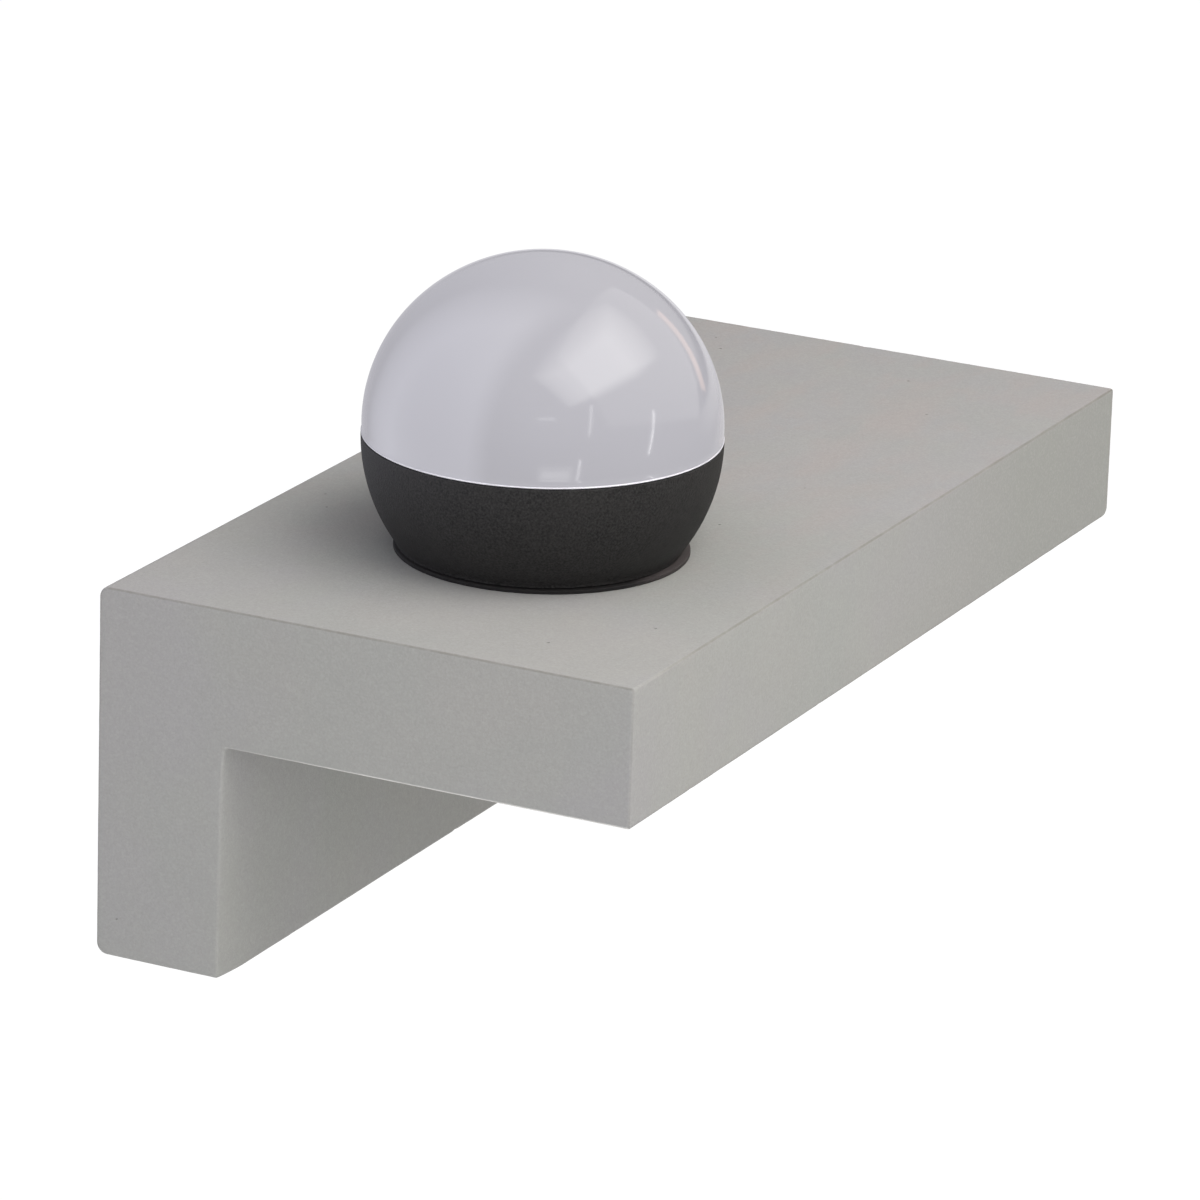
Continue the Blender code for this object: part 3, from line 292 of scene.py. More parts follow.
def concrete_material():
    """Fair-faced concrete: cloudy tone, sandy grain, a few pinholes with painted shade in them, and arrises lined
    with painted shade and painted highlights.
    """
    n = Nodes("fair_faced_concrete")
    patches = n.noise(42, 4, 0.6)
    blotches = n.noise(480, 3, 0.6)
    grain = n.noise(1500, 3, 0.7)
    sand = n.add("ShaderNodeSeparateColor", {"Color": n.cells(1700, "Color")}).outputs["Green"]
    hole = concrete_pinholes(n)
    tone = concrete_tone(n, patches)
    tone = n.mix(n.remap(blotches, 0.38, 0.66, 0, 0.28), tone, (0.308, 0.304, 0.289, 1))
    tone = n.mix(n.remap(grain, 0.36, 0.64, 0, 0.34), tone, (0.272, 0.268, 0.255, 1))
    tone = n.mix(n.remap(sand, 0.5, 1.0, 0, 0.2), tone, (0.43, 0.42, 0.40, 1))
    # Painted shade: the pinholes are painted darker inside
    tone = n.mix(n.math("MULTIPLY", hole, 0.45), tone, (0.15, 0.147, 0.14, 1))
    tone = concrete_painted_arris_lines(n, tone)
    n.set(Base_Color=tone, Roughness=n.remap(patches, 0.3, 0.7, 0.84, 0.96), Specular_IOR_Level=0.2)
    rough = n.bump(blotches, 0.25 * MM, 0.35)
    fine = n.bump(grain, 0.16 * MM, 0.6, rough)
    n.set(Normal=n.bump(n.math("MULTIPLY", hole, -1.0), 0.4 * MM, 0.9, fine))
    return n.material


def black_shell_material():
    """Fine-texture powder coat, nearly black."""
    n = Nodes("black_fine_texture")
    leather = n.noise(1700, 3, 0.65)
    broad = n.noise(70, 2, 0.5)
    tone = n.mix(n.remap(leather, 0.32, 0.68), (0.004, 0.0037, 0.0037, 1), (0.037, 0.0355, 0.035, 1))
    tone = n.mix(n.remap(broad, 0.4, 0.7, 0, 0.25), tone, (0.029, 0.0275, 0.026, 1))
    n.set(Base_Color=tone, Roughness=n.remap(leather, 0.3, 0.7, 0.6, 0.8), Specular_IOR_Level=0.25)
    n.set(Normal=n.bump(leather, 0.3 * MM, 0.9))
    return n.material


def opal_material():
    """Glossy opal acrylic. Light scattered inside it evens out its shading, so part of its tone is
    given as a faint glow."""
    n = Nodes("opal_acrylic")
    haze = n.noise(18, 2, 0.5)
    tone = n.mix(n.remap(haze, 0.35, 0.65), (0.138, 0.136, 0.150, 1), (0.150, 0.148, 0.160, 1))
    dust = n.cells(240)
    tone = n.mix(n.remap(dust, 0.045, 0.02, 0, 0.25), tone, (0.09, 0.09, 0.10, 1))
    scratches = n.noise(90, 4, 0.6, coords=n.stretched((1, 1, 7)))
    n.set(Base_Color=tone, Roughness=n.remap(scratches, 0.3, 0.7, 0.07, 0.11), IOR=1.49)
    n.set(Normal=n.bump(n.noise(30, 1, 0.4), 0.03 * MM, 0.15))
    n.set(Emission_Color=(0.94, 0.925, 1.0, 1), Emission_Strength=0.305)
    return n.material


def opal_rim_material():
    """The dome's bead, painted pale: a painted highlight for the light that collects at the thick edge."""
    n = Nodes("painted_highlight_rim")
    along = n.noise(60, 2, 0.5)
    # Painted highlight: the bead's pale tone stands in for light collecting at the edge
    tone = n.mix(n.remap(along, 0.3, 0.7), (0.64, 0.63, 0.68, 1), (0.76, 0.75, 0.79, 1))
    n.set(Base_Color=tone, Roughness=0.16, IOR=1.49)
    return n.material


def rubber_material():
    """Dark rubber. Its up-facing faces are painted lighter as painted light, most of all on the foot ring's front
    right side where the light falls, with a dust noise mixed in.
    """
    n = Nodes("dark_rubber")
    dust = n.noise(260, 4, 0.65)
    up = n.add("ShaderNodeSeparateXYZ", {"Vector": n.add("ShaderNodeNewGeometry").outputs["Normal"]})
    # Painted light: faces that point up are painted lighter than the sides
    painted_top_light = n.remap(up.outputs["Z"], 0.3, 0.98, 0.55, 1.0)
    dust_and_painted_light = n.math("MULTIPLY", painted_top_light, n.remap(dust, 0.3, 0.7, 0.7, 1.0))
    x, y, _ = n.add("ShaderNodeSeparateXYZ", {"Vector": n.coords}).outputs
    # Painted light: the front right side, which faces the light, is painted lighter still
    side = n.math("SUBTRACT", n.math("MULTIPLY", x, 0.45), n.math("MULTIPLY", y, 0.89))
    dust_and_painted_light = n.math("MULTIPLY", dust_and_painted_light, n.remap(side, 67 * MM, 75 * MM, 0.1, 1.0))
    colour = n.mix(dust_and_painted_light, (0.008, 0.0078, 0.0078, 1), (0.078, 0.066, 0.065, 1))
    n.set(Base_Color=colour, Roughness=n.remap(dust, 0.3, 0.7, 0.7, 0.9), Specular_IOR_Level=0.25)
    n.set(Normal=n.bump(n.noise(1800, 2, 0.5), 0.05 * MM, 0.4))
    return n.material


def zinc_material():
    """Zinc-plated sheet: a cool spangle, rolling lines and a few dull marks."""
    n = Nodes("zinc_plate")
    spangle = n.add("ShaderNodeSeparateColor", {"Color": n.cells(190, "Color")}).outputs["Blue"]
    rolled = n.noise(260, 3, 0.6, coords=n.stretched((0.06, 1, 1)))
    tone = n.mix(n.remap(spangle, 0.0, 1.0), (0.36, 0.37, 0.38, 1), (0.50, 0.51, 0.52, 1))
    dull = n.noise(36, 4, 0.65)
    tone = n.mix(n.remap(dull, 0.55, 0.75, 0, 0.45), tone, (0.30, 0.30, 0.30, 1))
    n.set(Base_Color=tone, Metallic=1.0, Roughness=n.remap(rolled, 0.3, 0.7, 0.34, 0.5))
    n.set(Normal=n.bump(rolled, 0.02 * MM, 0.35))
    return n.material


def brass_material():
    n = Nodes("turned_brass")
    rings = n.noise(700, 2, 0.5, coords=n.stretched((0.1, 0.1, 1)))
    dull = n.noise(90, 3, 0.6)
    tone = n.mix(n.remap(dull, 0.45, 0.7), (0.72, 0.53, 0.24, 1), (0.50, 0.36, 0.17, 1))
    n.set(Base_Color=tone, Metallic=1.0, Roughness=n.remap(rings, 0.3, 0.7, 0.25, 0.42))
    n.set(Normal=n.bump(rings, 0.02 * MM, 0.3))
    return n.material


def aluminium_material():
    n = Nodes("sheet_aluminium")
    rolled = n.noise(420, 3, 0.6, coords=n.stretched((0.05, 1, 1)))
    tone = n.mix(n.remap(rolled, 0.35, 0.65), (0.70, 0.71, 0.72, 1), (0.80, 0.81, 0.82, 1))
    n.set(Base_Color=tone, Metallic=1.0, Roughness=n.remap(rolled, 0.3, 0.7, 0.26, 0.4))
    return n.material


def plastic_material(name, colour, rough=0.45, cloudiness=0.15):
    """Moulded plastic: a fine eroded skin and a slight cloudiness."""
    n = Nodes(name)
    cloud = n.noise(60, 3, 0.55)
    darker = tuple(channel * (1 - cloudiness) for channel in colour)
    tone = n.mix(n.remap(cloud, 0.4, 0.7), (*colour, 1), (*darker, 1))
    skin = n.noise(1600, 2, 0.5)
    n.set(Base_Color=tone, Roughness=n.remap(skin, 0.3, 0.7, rough - 0.06, rough + 0.08))
    n.set(Normal=n.bump(skin, 0.04 * MM, 0.3))
    return n.material


def board_material():
    """White solder mask over faint copper areas."""
    n = Nodes("white_solder_mask")
    copper = n.cells(95, "Distance", "DISTANCE_TO_EDGE")
    tone = n.mix(n.remap(copper, 0.03, 0.06), (0.62, 0.63, 0.60, 1), (0.80, 0.81, 0.79, 1))
    n.set(Base_Color=tone, Roughness=0.32)
    n.set(Normal=n.bump(n.remap(copper, 0.03, 0.06), 0.04 * MM, 0.4))
    return n.material


def led_material():
    n = Nodes("led_phosphor")
    grains = n.noise(2600, 2, 0.6)
    tone = n.mix(n.remap(grains, 0.3, 0.7), (0.80, 0.62, 0.13, 1), (0.88, 0.74, 0.26, 1))
    n.set(Base_Color=tone, Roughness=0.28)
    return n.material


finishes = {
    "concrete": concrete_material(),
    "zinc": zinc_material(),
    "brass": brass_material(),
    "black_shell": black_shell_material(),
    "opal": opal_material(),
    "rubber": rubber_material(),
    "white_plastic": plastic_material("white_polyamide", (0.72, 0.72, 0.69)),
    "grey_plastic": plastic_material("grey_polyamide", (0.27, 0.27, 0.255), 0.6),
    "cable_black": plastic_material("black_sheath", (0.022, 0.022, 0.022), 0.5, 0.3),
    "core_brown": plastic_material("brown_core", (0.16, 0.065, 0.03), 0.42),
    "core_blue": plastic_material("blue_core", (0.03, 0.10, 0.38), 0.42),
    "core_red": plastic_material("red_core", (0.42, 0.03, 0.025), 0.42),
    "aluminium": aluminium_material(),
    "board": board_material(),
    "led": led_material(),
}
painted_highlight_rim = opal_rim_material()


# ---------------------------------------------------------------- building blocks


def new_object(name, mesh, materials):
    thing = bpy.data.objects.new(name, mesh)
    bpy.context.scene.collection.objects.link(thing)
    for material in materials:
        mesh.materials.append(material)
    return thing


AT_LAMP = Matrix.Translation(LAMP)


def arc(centre, radius_x, radius_z, start, end, count):
    """Points on an ellipse in the (radius, height) plane, from start to end degrees."""
    points = []
    for i in range(count + 1):
        angle = math.radians(start + (end - start) * i / count)
        points.append((centre[0] + radius_x * math.cos(angle), centre[1] + radius_z * math.sin(angle)))
    return points


def finish_mesh(work, name, place=None):
    """Turn the working mesh into a mesh with outward faces."""
    bmesh.ops.recalc_face_normals(work, faces=work.faces)
    mesh = bpy.data.meshes.new(name)
    work.to_mesh(mesh)
    work.free()
    if place:
        mesh.transform(place)
    return mesh


def revolve(name, profile, materials, closed, place=AT_LAMP, steps=ROUND_STEPS):
    """A solid of revolution about local Z. An open profile starts and ends on the axis."""
    work = bmesh.new()
    rings = []
    for radius, height in profile:
        if radius < 1e-7:
            rings.append([work.verts.new((0, 0, height))])
            continue
        ring = []
        for i in range(steps):
            turn = math.tau * i / steps
            ring.append(work.verts.new((radius * math.cos(turn), radius * math.sin(turn), height)))
        rings.append(ring)
    pairs = list(zip(rings, rings[1:]))
    if closed:
        pairs.append((rings[-1], rings[0]))
    for upper, lower in pairs:
        for i in range(steps):
            j = (i + 1) % steps
            if len(upper) == 1:
                work.faces.new((upper[0], lower[i], lower[j]))
            elif len(lower) == 1:
                work.faces.new((upper[i], lower[0], upper[j]))
            else:
                work.faces.new((upper[i], lower[i], lower[j], upper[j]))
    return new_object(name, finish_mesh(work, name, place), materials)


def loft(name, rings, materials):
    """A solid through rings of points, closed by a flat face at each end."""
    work = bmesh.new()
    rings = [[work.verts.new(point) for point in ring] for ring in rings]
    for first, second in zip(rings, rings[1:]):
        for i in range(len(first)):
            j = (i + 1) % len(first)
            work.faces.new((first[i], first[j], second[j], second[i]))
    for ring in (rings[0], rings[-1]):
        work.faces.new(ring)
    return new_object(name, finish_mesh(work, name), materials)


def solid_mesh(name, shapes):
    """A mesh of boxes and rods. A box is (low, high, matrix). A rod is (start, end, radius), and may
    add its number of sides."""
    work = bmesh.new()
    for shape in shapes:
        start, end = Vector(shape[0]), Vector(shape[1])
        centre = Matrix.Translation((start + end) / 2)
        if isinstance(shape[2], Matrix):
            size = Matrix.Diagonal((*(end - start), 1))
            bmesh.ops.create_cube(work, size=1, matrix=shape[2] @ centre @ size)
        else:
            sides = shape[3] if len(shape) > 3 else ROD_SIDES
            turn = (end - start).to_track_quat("Z", "Y").to_matrix().to_4x4()
            size = {"radius1": shape[2], "radius2": shape[2], "depth": (end - start).length}
            bmesh.ops.create_cone(work, cap_ends=True, segments=sides, matrix=centre @ turn, **size)
    return finish_mesh(work, name)


def apply_booleans(thing, steps):
    """Join and cut shapes in turn, and keep the result as the object's mesh."""
    tools = []
    for number, (operation, shapes) in enumerate(steps):
        tool = bpy.data.objects.new(f"{thing.name}_tool_{number}", solid_mesh("tool", shapes))
        bpy.context.scene.collection.objects.link(tool)
        boolean = thing.modifiers.new("boolean", "BOOLEAN")
        boolean.operation = operation
        boolean.solver = "EXACT"
        boolean.object = tool
        tools.append(tool)
    keep_modified(thing)
    for tool in tools:
        bpy.data.objects.remove(tool)


def keep_modified(thing):
    """Replace the object's mesh with its modified shape."""
    bpy.context.view_layer.update()
    evaluated = thing.evaluated_get(bpy.context.evaluated_depsgraph_get())
    mesh = bpy.data.meshes.new_from_object(evaluated)
    thing.modifiers.clear()
    thing.data = mesh


def soften(thing, width):
    """Round the object's sharp edges."""
    bevel = thing.modifiers.new("bevel", "BEVEL")
    bevel.width = width
    bevel.segments = 2
    bevel.limit_method = "ANGLE"
    bevel.angle_limit = math.radians(50)
    keep_modified(thing)


def stand_for(thing, node, body=SHELF, degrees=40):
    """Smooth the finished piece and put it in its CAD node's place."""
    thing.data.shade_smooth()
    thing.data.set_sharp_from_angle(angle=math.radians(degrees))
    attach(thing, body)
    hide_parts(node)


def upright(at, bottom, top, radius):
    """A rod along Z, for solid_mesh."""
    return ((at.x, at.y, bottom), (at.x, at.y, top), radius)


def lamp_turn(degrees):
    """The place of a box that is turned about the lamp's axis, for solid_mesh."""
    return Matrix.Translation(LAMP) @ Matrix.Rotation(math.radians(degrees), 4, "Z")


# ---------------------------------------------------------------- concrete casting

SECTION = (
    # y, z, arris radius, tone of the long arris and of the end arris that starts here: above 0 the arris has a
    # dark line of painted shade, below 0 a light line of painted highlight. The inner corner has no long arris.
    (FRONT, TOP, ARRIS, 1.0, 1.0),
    (0.0, TOP, WALL_ARRIS, 0.0, 0.7),
    (0.0, BOTTOM, FOOT_ARRIS, 0.0, 0.0),
    (LEG_FRONT, BOTTOM, ARRIS, 0.0, 0.25),
    (LEG_FRONT, UNDERSIDE, INNER_ARRIS, None, -1.0),
    (FRONT, UNDERSIDE, ARRIS, 0.6, 0.45),
)
CORNERS = [Vector(row[:2]) for row in SECTION]
CORNER_POINTS = 6
LINE_WIDTH = 0.7 * MM
LINE_START = 60 * MM
WEAR_WIDTH = 2.2 * MM
ARRIS_REACH = 3 * MM
GRID = 1.9 * MM
CLOSE_STEPS = (0.35 * MM, 0.8 * MM, 1.4 * MM, 2.2 * MM, 3.4 * MM)
END_FACE_INSETS = (7 * MM, 4 * MM, 2.4 * MM, 1.4 * MM)
END_ARRIS_STEPS = 4


def stations(start, end):
    """Places from start to end, close together at both ends."""
    *near, first = CLOSE_STEPS
    inner = (end - start) - 2 * first
    count = max(1, round(inner / GRID))
    between = [first + inner * i / count for i in range(count + 1)]
    places = [0.0, *near, *between, *[end - start - step for step in reversed(near)], end - start]
    return [start + place for place in places]


def rounded_corner(number, inset):
    """The points of one corner's arc, moved inwards by inset."""
    here, radius = CORNERS[number], SECTION[number][2]
    before = (here - CORNERS[number - 1]).normalized()
    after = (CORNERS[(number + 1) % len(CORNERS)] - here).normalized()
    from_before, from_after = Vector((before.y, -before.x)), Vector((after.y, -after.x))
    turning = before.x * after.y - before.y * after.x
    side = 1 if turning < 0 else -1
    pivot = here + (from_before + from_after) * inset + (from_before + from_after) * radius * side
    points = []
    for step in range(CORNER_POINTS + 1):
        turn = math.radians(90) * step / CORNER_POINTS
        out = -from_before * side * math.cos(turn) - from_after * side * math.sin(turn)
        points.append(pivot + out * radius)
    return points


def section_ring(inset):
    """The L-section as a ring of (y, z), moved inwards by inset."""
    rounded = [rounded_corner(number, inset) for number in range(len(CORNERS))]
    ring = []
    for i, points in enumerate(rounded):
        following = (i + 1) % len(rounded)
        start, end = points[-1], rounded[following][0]
        nominal = (CORNERS[following] - CORNERS[i]).length
        ring += points
        ring += [start + (end - start) * (place / nominal) for place in stations(0, nominal)[1:-1]]
    return ring


def casting_rings():
    """(x, inset) of each ring from the near end face to the far one."""
    cap = [(0.0, inset) for inset in END_FACE_INSETS]
    for step in range(END_ARRIS_STEPS + 1):
        angle = math.radians(90 * step / END_ARRIS_STEPS)
        cap.append((END_ARRIS * (1 - math.cos(angle)), END_ARRIS * (1 - math.sin(angle))))
    near = [(-END + into, inset) for into, inset in cap]
    along = [(x, 0.0) for x in stations(-END + END_ARRIS, END - END_ARRIS)[1:-1]]
    far = [(END - into, inset) for into, inset in reversed(cap)]
    return near + along + far


def sharp_edges():
    """The casting's arrises: a start, the direction, the way into the concrete, the length, and a
    tone."""
    edges = []
    for i, (here, row) in enumerate(zip(CORNERS, SECTION)):
        before, after = CORNERS[i - 1], CORNERS[(i + 1) % len(CORNERS)]
        long_tone, end_tone = row[3:]
        along = (after - here).normalized()
        inward = Vector((along.y, -along.x))
        if long_tone is not None:
            start = Vector((-END, *here))
            way_in = Vector((0, *((before - here).normalized() + along)))
            edges.append((start, Vector((1, 0, 0)), way_in, LENGTH, long_tone))
        for side in (-1, 1):
            start, way_in = Vector((side * END, *here)), Vector((-side, *inward))
            edges.append((start, Vector((0, *along)), way_in, (after - here).length, end_tone))
    return edges


EDGES = sharp_edges()


def chip_depth(edge, place):
    """How deep an arris is worn at a place along it: ripples everywhere, and chips in some stretches.
    An arris that starts on the wall has no chips."""
    at = Vector((place / MM, edge * 31.7, 0))
    ripple = 0.03 * abs(noise.noise(at / 2.3)) + 0.05 * abs(noise.noise(at / 9.0))
    chip = max(0.0, noise.noise(at / 2.6 + Vector((0, 0, 5.0))) - 0.46) * 1.2
    chipped = min(1.0, max(0.0, noise.noise(at / 38.0 + Vector((0, 0, 9.0))) + 0.2))
    if EDGES[edge][0].y > -ARRIS:
        chipped = 0.0
    return (ripple + chip * chipped) * MM


def weather(point):
    """Move a surface point into the worn arrises near it. Also gives the tone of the painted arris line there:
    above 0 painted shade, below 0 painted highlight.
    """
    moved = point.copy()
    painted_arris_tone = 0.0
    for number, (start, along, way_in, length, tone) in enumerate(EDGES):
        offset = point - start
        place = offset.dot(along)
        if not -ARRIS_REACH <= place <= length + ARRIS_REACH:
            continue
        away = (offset - along * min(max(place, 0.0), length)).length
        if away > ARRIS_REACH:
            continue
        strength = tone * max(0.0, 1 - away / LINE_WIDTH)
        if along.x or tone < 0:
            strength *= min(1.0, 0.25 + place / LINE_START)
        if abs(strength) > abs(painted_arris_tone):
            painted_arris_tone = strength
        share = max(0.0, 1 - away / WEAR_WIDTH)
        moved += way_in * chip_depth(number, place) * share * share * (3 - 2 * share)
    return moved, painted_arris_tone


def round_far_corner(point):
    """The lower arris of the slab's far end is more worn away than the others."""
    if point.y > LEG_FRONT - 2 * MM:
        return point
    along, up = END - point.x, point.z - UNDERSIDE
    if along >= FAR_ARRIS or up >= FAR_ARRIS:
        return point
    out = Vector((along - FAR_ARRIS, up - FAR_ARRIS))
    if out.length <= FAR_ARRIS:
        return point
    out = out.normalized() * FAR_ARRIS
    return Vector((END - FAR_ARRIS - out.x, point.y, UNDERSIDE + FAR_ARRIS + out.y))


def ease_leg_front(point):
    """The leg's front is worn back a little next to its ends, and more towards its foot."""
    across, into = END - abs(point.x), point.y - LEG_FRONT
    share = (UNDERSIDE - point.z) / (UNDERSIDE - BOTTOM)
    if across > LEG_WORN_WIDTH or into > LEG_WORN_WIDTH or share < 0:
        return point
    least, most = LEG_WORN_DEPTH
    depth = least * min(1.0, share * 8) + (most - least) * share
    depth *= (1 - across / LEG_WORN_WIDTH) ** 2 * (1 - into / LEG_WORN_WIDTH)
    return point + Vector((0, depth, 0))


def casting_cuts():
    """The recess for the plate, the fixing chamber, the cable's way, and the lock screws' holes."""
    recess_low = (-RECESS_HALF_LENGTH, -RECESS_DEPTH, RECESS_BOTTOM)
    recess = (recess_low, (RECESS_HALF_LENGTH, PAST, RECESS_TOP), Matrix())
    chamber = upright(LAMP, UNDERSIDE - PAST, CHAMBER_TOP, CHAMBER_RADIUS)
    lamp_hole = upright(LAMP, CHAMBER_TOP - PAST, TOP + PAST, HOLE_RADIUS)
    duct_end = (LAMP.x, PAST - RECESS_DEPTH, DUCT_HEIGHT)
    duct = ((LAMP.x, LAMP.y, DUCT_HEIGHT), duct_end, DUCT_RADIUS)
    pockets, shanks = [], []
    for at in LOCK_SCREWS.values():
        pockets.append(upright(at, BOTTOM - PAST, LOCK_POCKET_TOP, LOCK_POCKET_RADIUS))
        shanks.append(upright(at, LOCK_POCKET_TOP - PAST, RECESS_BOTTOM + PAST, LOCK_BORE_RADIUS))
    return [recess], [chamber], [lamp_hole, duct], pockets, shanks


def concrete_casting():
    """The L-shaped casting, with worn arrises that carry the tone of their painted shade and highlight lines."""
    rings = []
    for x, inset in casting_rings():
        points = [Vector((x, y, z)) for y, z in section_ring(inset)]
        rings.append([weather(ease_leg_front(round_far_corner(point)))[0] for point in points])
    casting = loft("concrete_casting", rings, [finishes["concrete"]])
    apply_booleans(casting, [("DIFFERENCE", shapes) for shapes in casting_cuts()])
    # The painted shade and highlight tone of the arris lines, at each point
    painted_arris_tone = casting.data.attributes.new("arris", "FLOAT", "POINT")
    for index, vertex in enumerate(casting.data.vertices):
        painted_arris_tone.data[index].value = weather(vertex.co)[1]
    stand_for(casting, "concrete_bracket", degrees=34)


# ---------------------------------------------------------------- lamp


def foot_gasket():
    """The rubber ring that the bowl stands on."""
    bottom, edge = TOP + 0.05 * MM, 0.2 * MM
    rim = arc((GASKET_RADIUS - edge, GASKET_TOP - edge), edge, edge, 90, 0, 5)
    profile = [(GASKET_BORE, GASKET_TOP), *rim, (GASKET_RADIUS, bottom), (GASKET_BORE, bottom)]
    place = Matrix.Translation(LAMP + GASKET_SHIFT)
    gasket = revolve("foot_gasket", profile, [finishes["rubber"]], True, place)
    stand_for(gasket, "base_gasket")


def bowl_profile():
    """The bowl's outside from rim to foot, the hole in its floor, its inside, the lip and the rebate."""
    edge, bevel = 0.25 * MM, 0.2 * MM
    sphere = (0, BOWL_RIM)
    foot_angle = -math.degrees(math.acos(BOWL_FOOT_RADIUS / BALL_RADIUS))
    floor_angle = -math.degrees(math.asin((BOWL_RIM - BOWL_FLOOR) / BOWL_INNER))
    lip_angle = -math.degrees(math.asin((BOWL_RIM - LIP_BOTTOM) / BOWL_INNER))
    profile = arc((BALL_RADIUS - edge, BOWL_RIM - edge), edge, edge, 90, 0, 5)
    profile += arc(sphere, BALL_RADIUS, BALL_RADIUS, -0.6, foot_angle, 48)
    profile += arc((BOWL_FOOT_RADIUS - edge, BOWL_BOTTOM + edge), edge, edge, 0, -90, 4)
    profile += [(HOLE_RADIUS, BOWL_BOTTOM), (HOLE_RADIUS, BOWL_FLOOR)]
    profile += arc(sphere, BOWL_INNER, BOWL_INNER, floor_angle, lip_angle, 20)
    profile += [(LIP_RADIUS, LIP_BOTTOM), (LIP_RADIUS, LIP_TOP), (REBATE_RADIUS, LIP_TOP)]
    profile += [(REBATE_RADIUS, BOWL_RIM - bevel), (REBATE_RADIUS + bevel, BOWL_RIM)]
    return profile


def bowl_shell():
    """The black bowl on its low foot, with its lip, rebate, bosses and bayonet track."""
    bowl = revolve("bowl_shell", bowl_profile(), [finishes["black_shell"]], closed=True)
    bosses, stops, cuts = [], [], []
    for screw in HEAT_PLATE_SCREWS:
        bosses.append(upright(screw, BOWL_FLOOR - 0.5 * MM, BOSS_TOP, BOSS_RADIUS))
        cuts.append(upright(screw, BOSS_TOP - 9 * MM, BOSS_TOP + 1 * MM, PILOT_RADIUS))
    half_slot = LUG_WIDTH / 2 + 1 * MM
    stop_angle = math.degrees((LUG_WIDTH / 2 + 2 * MM) / LUG_REACH)
    for angle in LUG_ANGLES:
        low = (LIP_RADIUS - 1 * MM, -half_slot, LIP_BOTTOM - 1 * MM)
        high = (REBATE_RADIUS - 0.6 * MM, half_slot, LIP_TOP + 1 * MM)
        cuts.append((low, high, lamp_turn(angle + UNLOCK_TURN)))
        low = (LIP_RADIUS + 0.3 * MM, -1.5 * MM, LIP_BOTTOM - 3.6 * MM)
        high = (REBATE_RADIUS, 1.5 * MM, LIP_BOTTOM + 0.5 * MM)
        stops.append((low, high, lamp_turn(angle - stop_angle)))
    for screw in DRIVER_SCREWS:
        cuts.append(upright(screw, BOWL_FLOOR - 2.2 * MM, BOWL_FLOOR + 1 * MM, PILOT_RADIUS))
    apply_booleans(bowl, [("UNION", bosses), ("UNION", stops), ("DIFFERENCE", cuts)])
    stand_for(bowl, "lamp_bowl")


def dome_profile():
    """The dome's outside from the top to its bead, the collar, and the inside back to the top."""
    centre, bevel = (0, DOME_CENTRE), 0.3 * MM
    profile = arc(centre, DOME_RADIUS, DOME_RISE, 90, 0, 64)
    profile[0] = (0, DOME_CENTRE + DOME_RISE)
    profile += [(DOME_RADIUS - 0.1 * MM, DOME_EDGE + 2 * BEAD + 0.12 * MM)]
    profile += arc((BALL_RADIUS - BEAD, DOME_EDGE + BEAD), BEAD, BEAD, BEAD_START, -90, 10)
    profile += [(COLLAR_RADIUS, DOME_EDGE), (COLLAR_RADIUS, COLLAR_BOTTOM + bevel)]
    profile += [(COLLAR_RADIUS - bevel, COLLAR_BOTTOM), (COLLAR_BORE, COLLAR_BOTTOM)]
    profile += [(COLLAR_BORE, DOME_EDGE + DOME_WALL)]
    profile += arc(centre, DOME_RADIUS - DOME_WALL, DOME_RISE - DOME_WALL, 4, 90, 32)
    profile[-1] = (0, DOME_CENTRE + DOME_RISE - DOME_WALL)
    return profile


def dome_shell():
    """The opal dome, with a bead at its edge that carries a painted highlight, and three lugs on its collar."""
    dome = revolve("dome_shell", dome_profile(), [finishes["opal"], painted_highlight_rim], closed=False)
    lugs = []
    for angle in LUG_ANGLES:
        low = (COLLAR_BORE + 0.6 * MM, -LUG_WIDTH / 2, COLLAR_BOTTOM)
        lugs.append((low, (LUG_REACH, LUG_WIDTH / 2, LUG_TOP), lamp_turn(angle)))
    apply_booleans(dome, [("UNION", lugs)])
    slack = 0.01 * MM
    bead_bottom = DOME_EDGE - slack
    bead_top = DOME_EDGE + BEAD + BEAD * math.sin(math.radians(BEAD_START)) + slack
    # The bead's faces get the rim material, whose pale tone is a painted highlight
    for face in dome.data.polygons:
        out = math.hypot(face.center.x - LAMP.x, face.center.y - LAMP.y)
        if out > DOME_RADIUS - 0.5 * MM and bead_bottom < face.center.z < bead_top:
            face.material_index = 1
    stand_for(dome, "opal_dome", DOME, 50)


# ---------------------------------------------------------------- fixings seen from behind and below


def through_plate(x, z, radius):
    """A rod along Y through the wall plate, for solid_mesh."""
    return ((x, -SHEET - 1 * MM, z), (x, 1 * MM, z), radius)


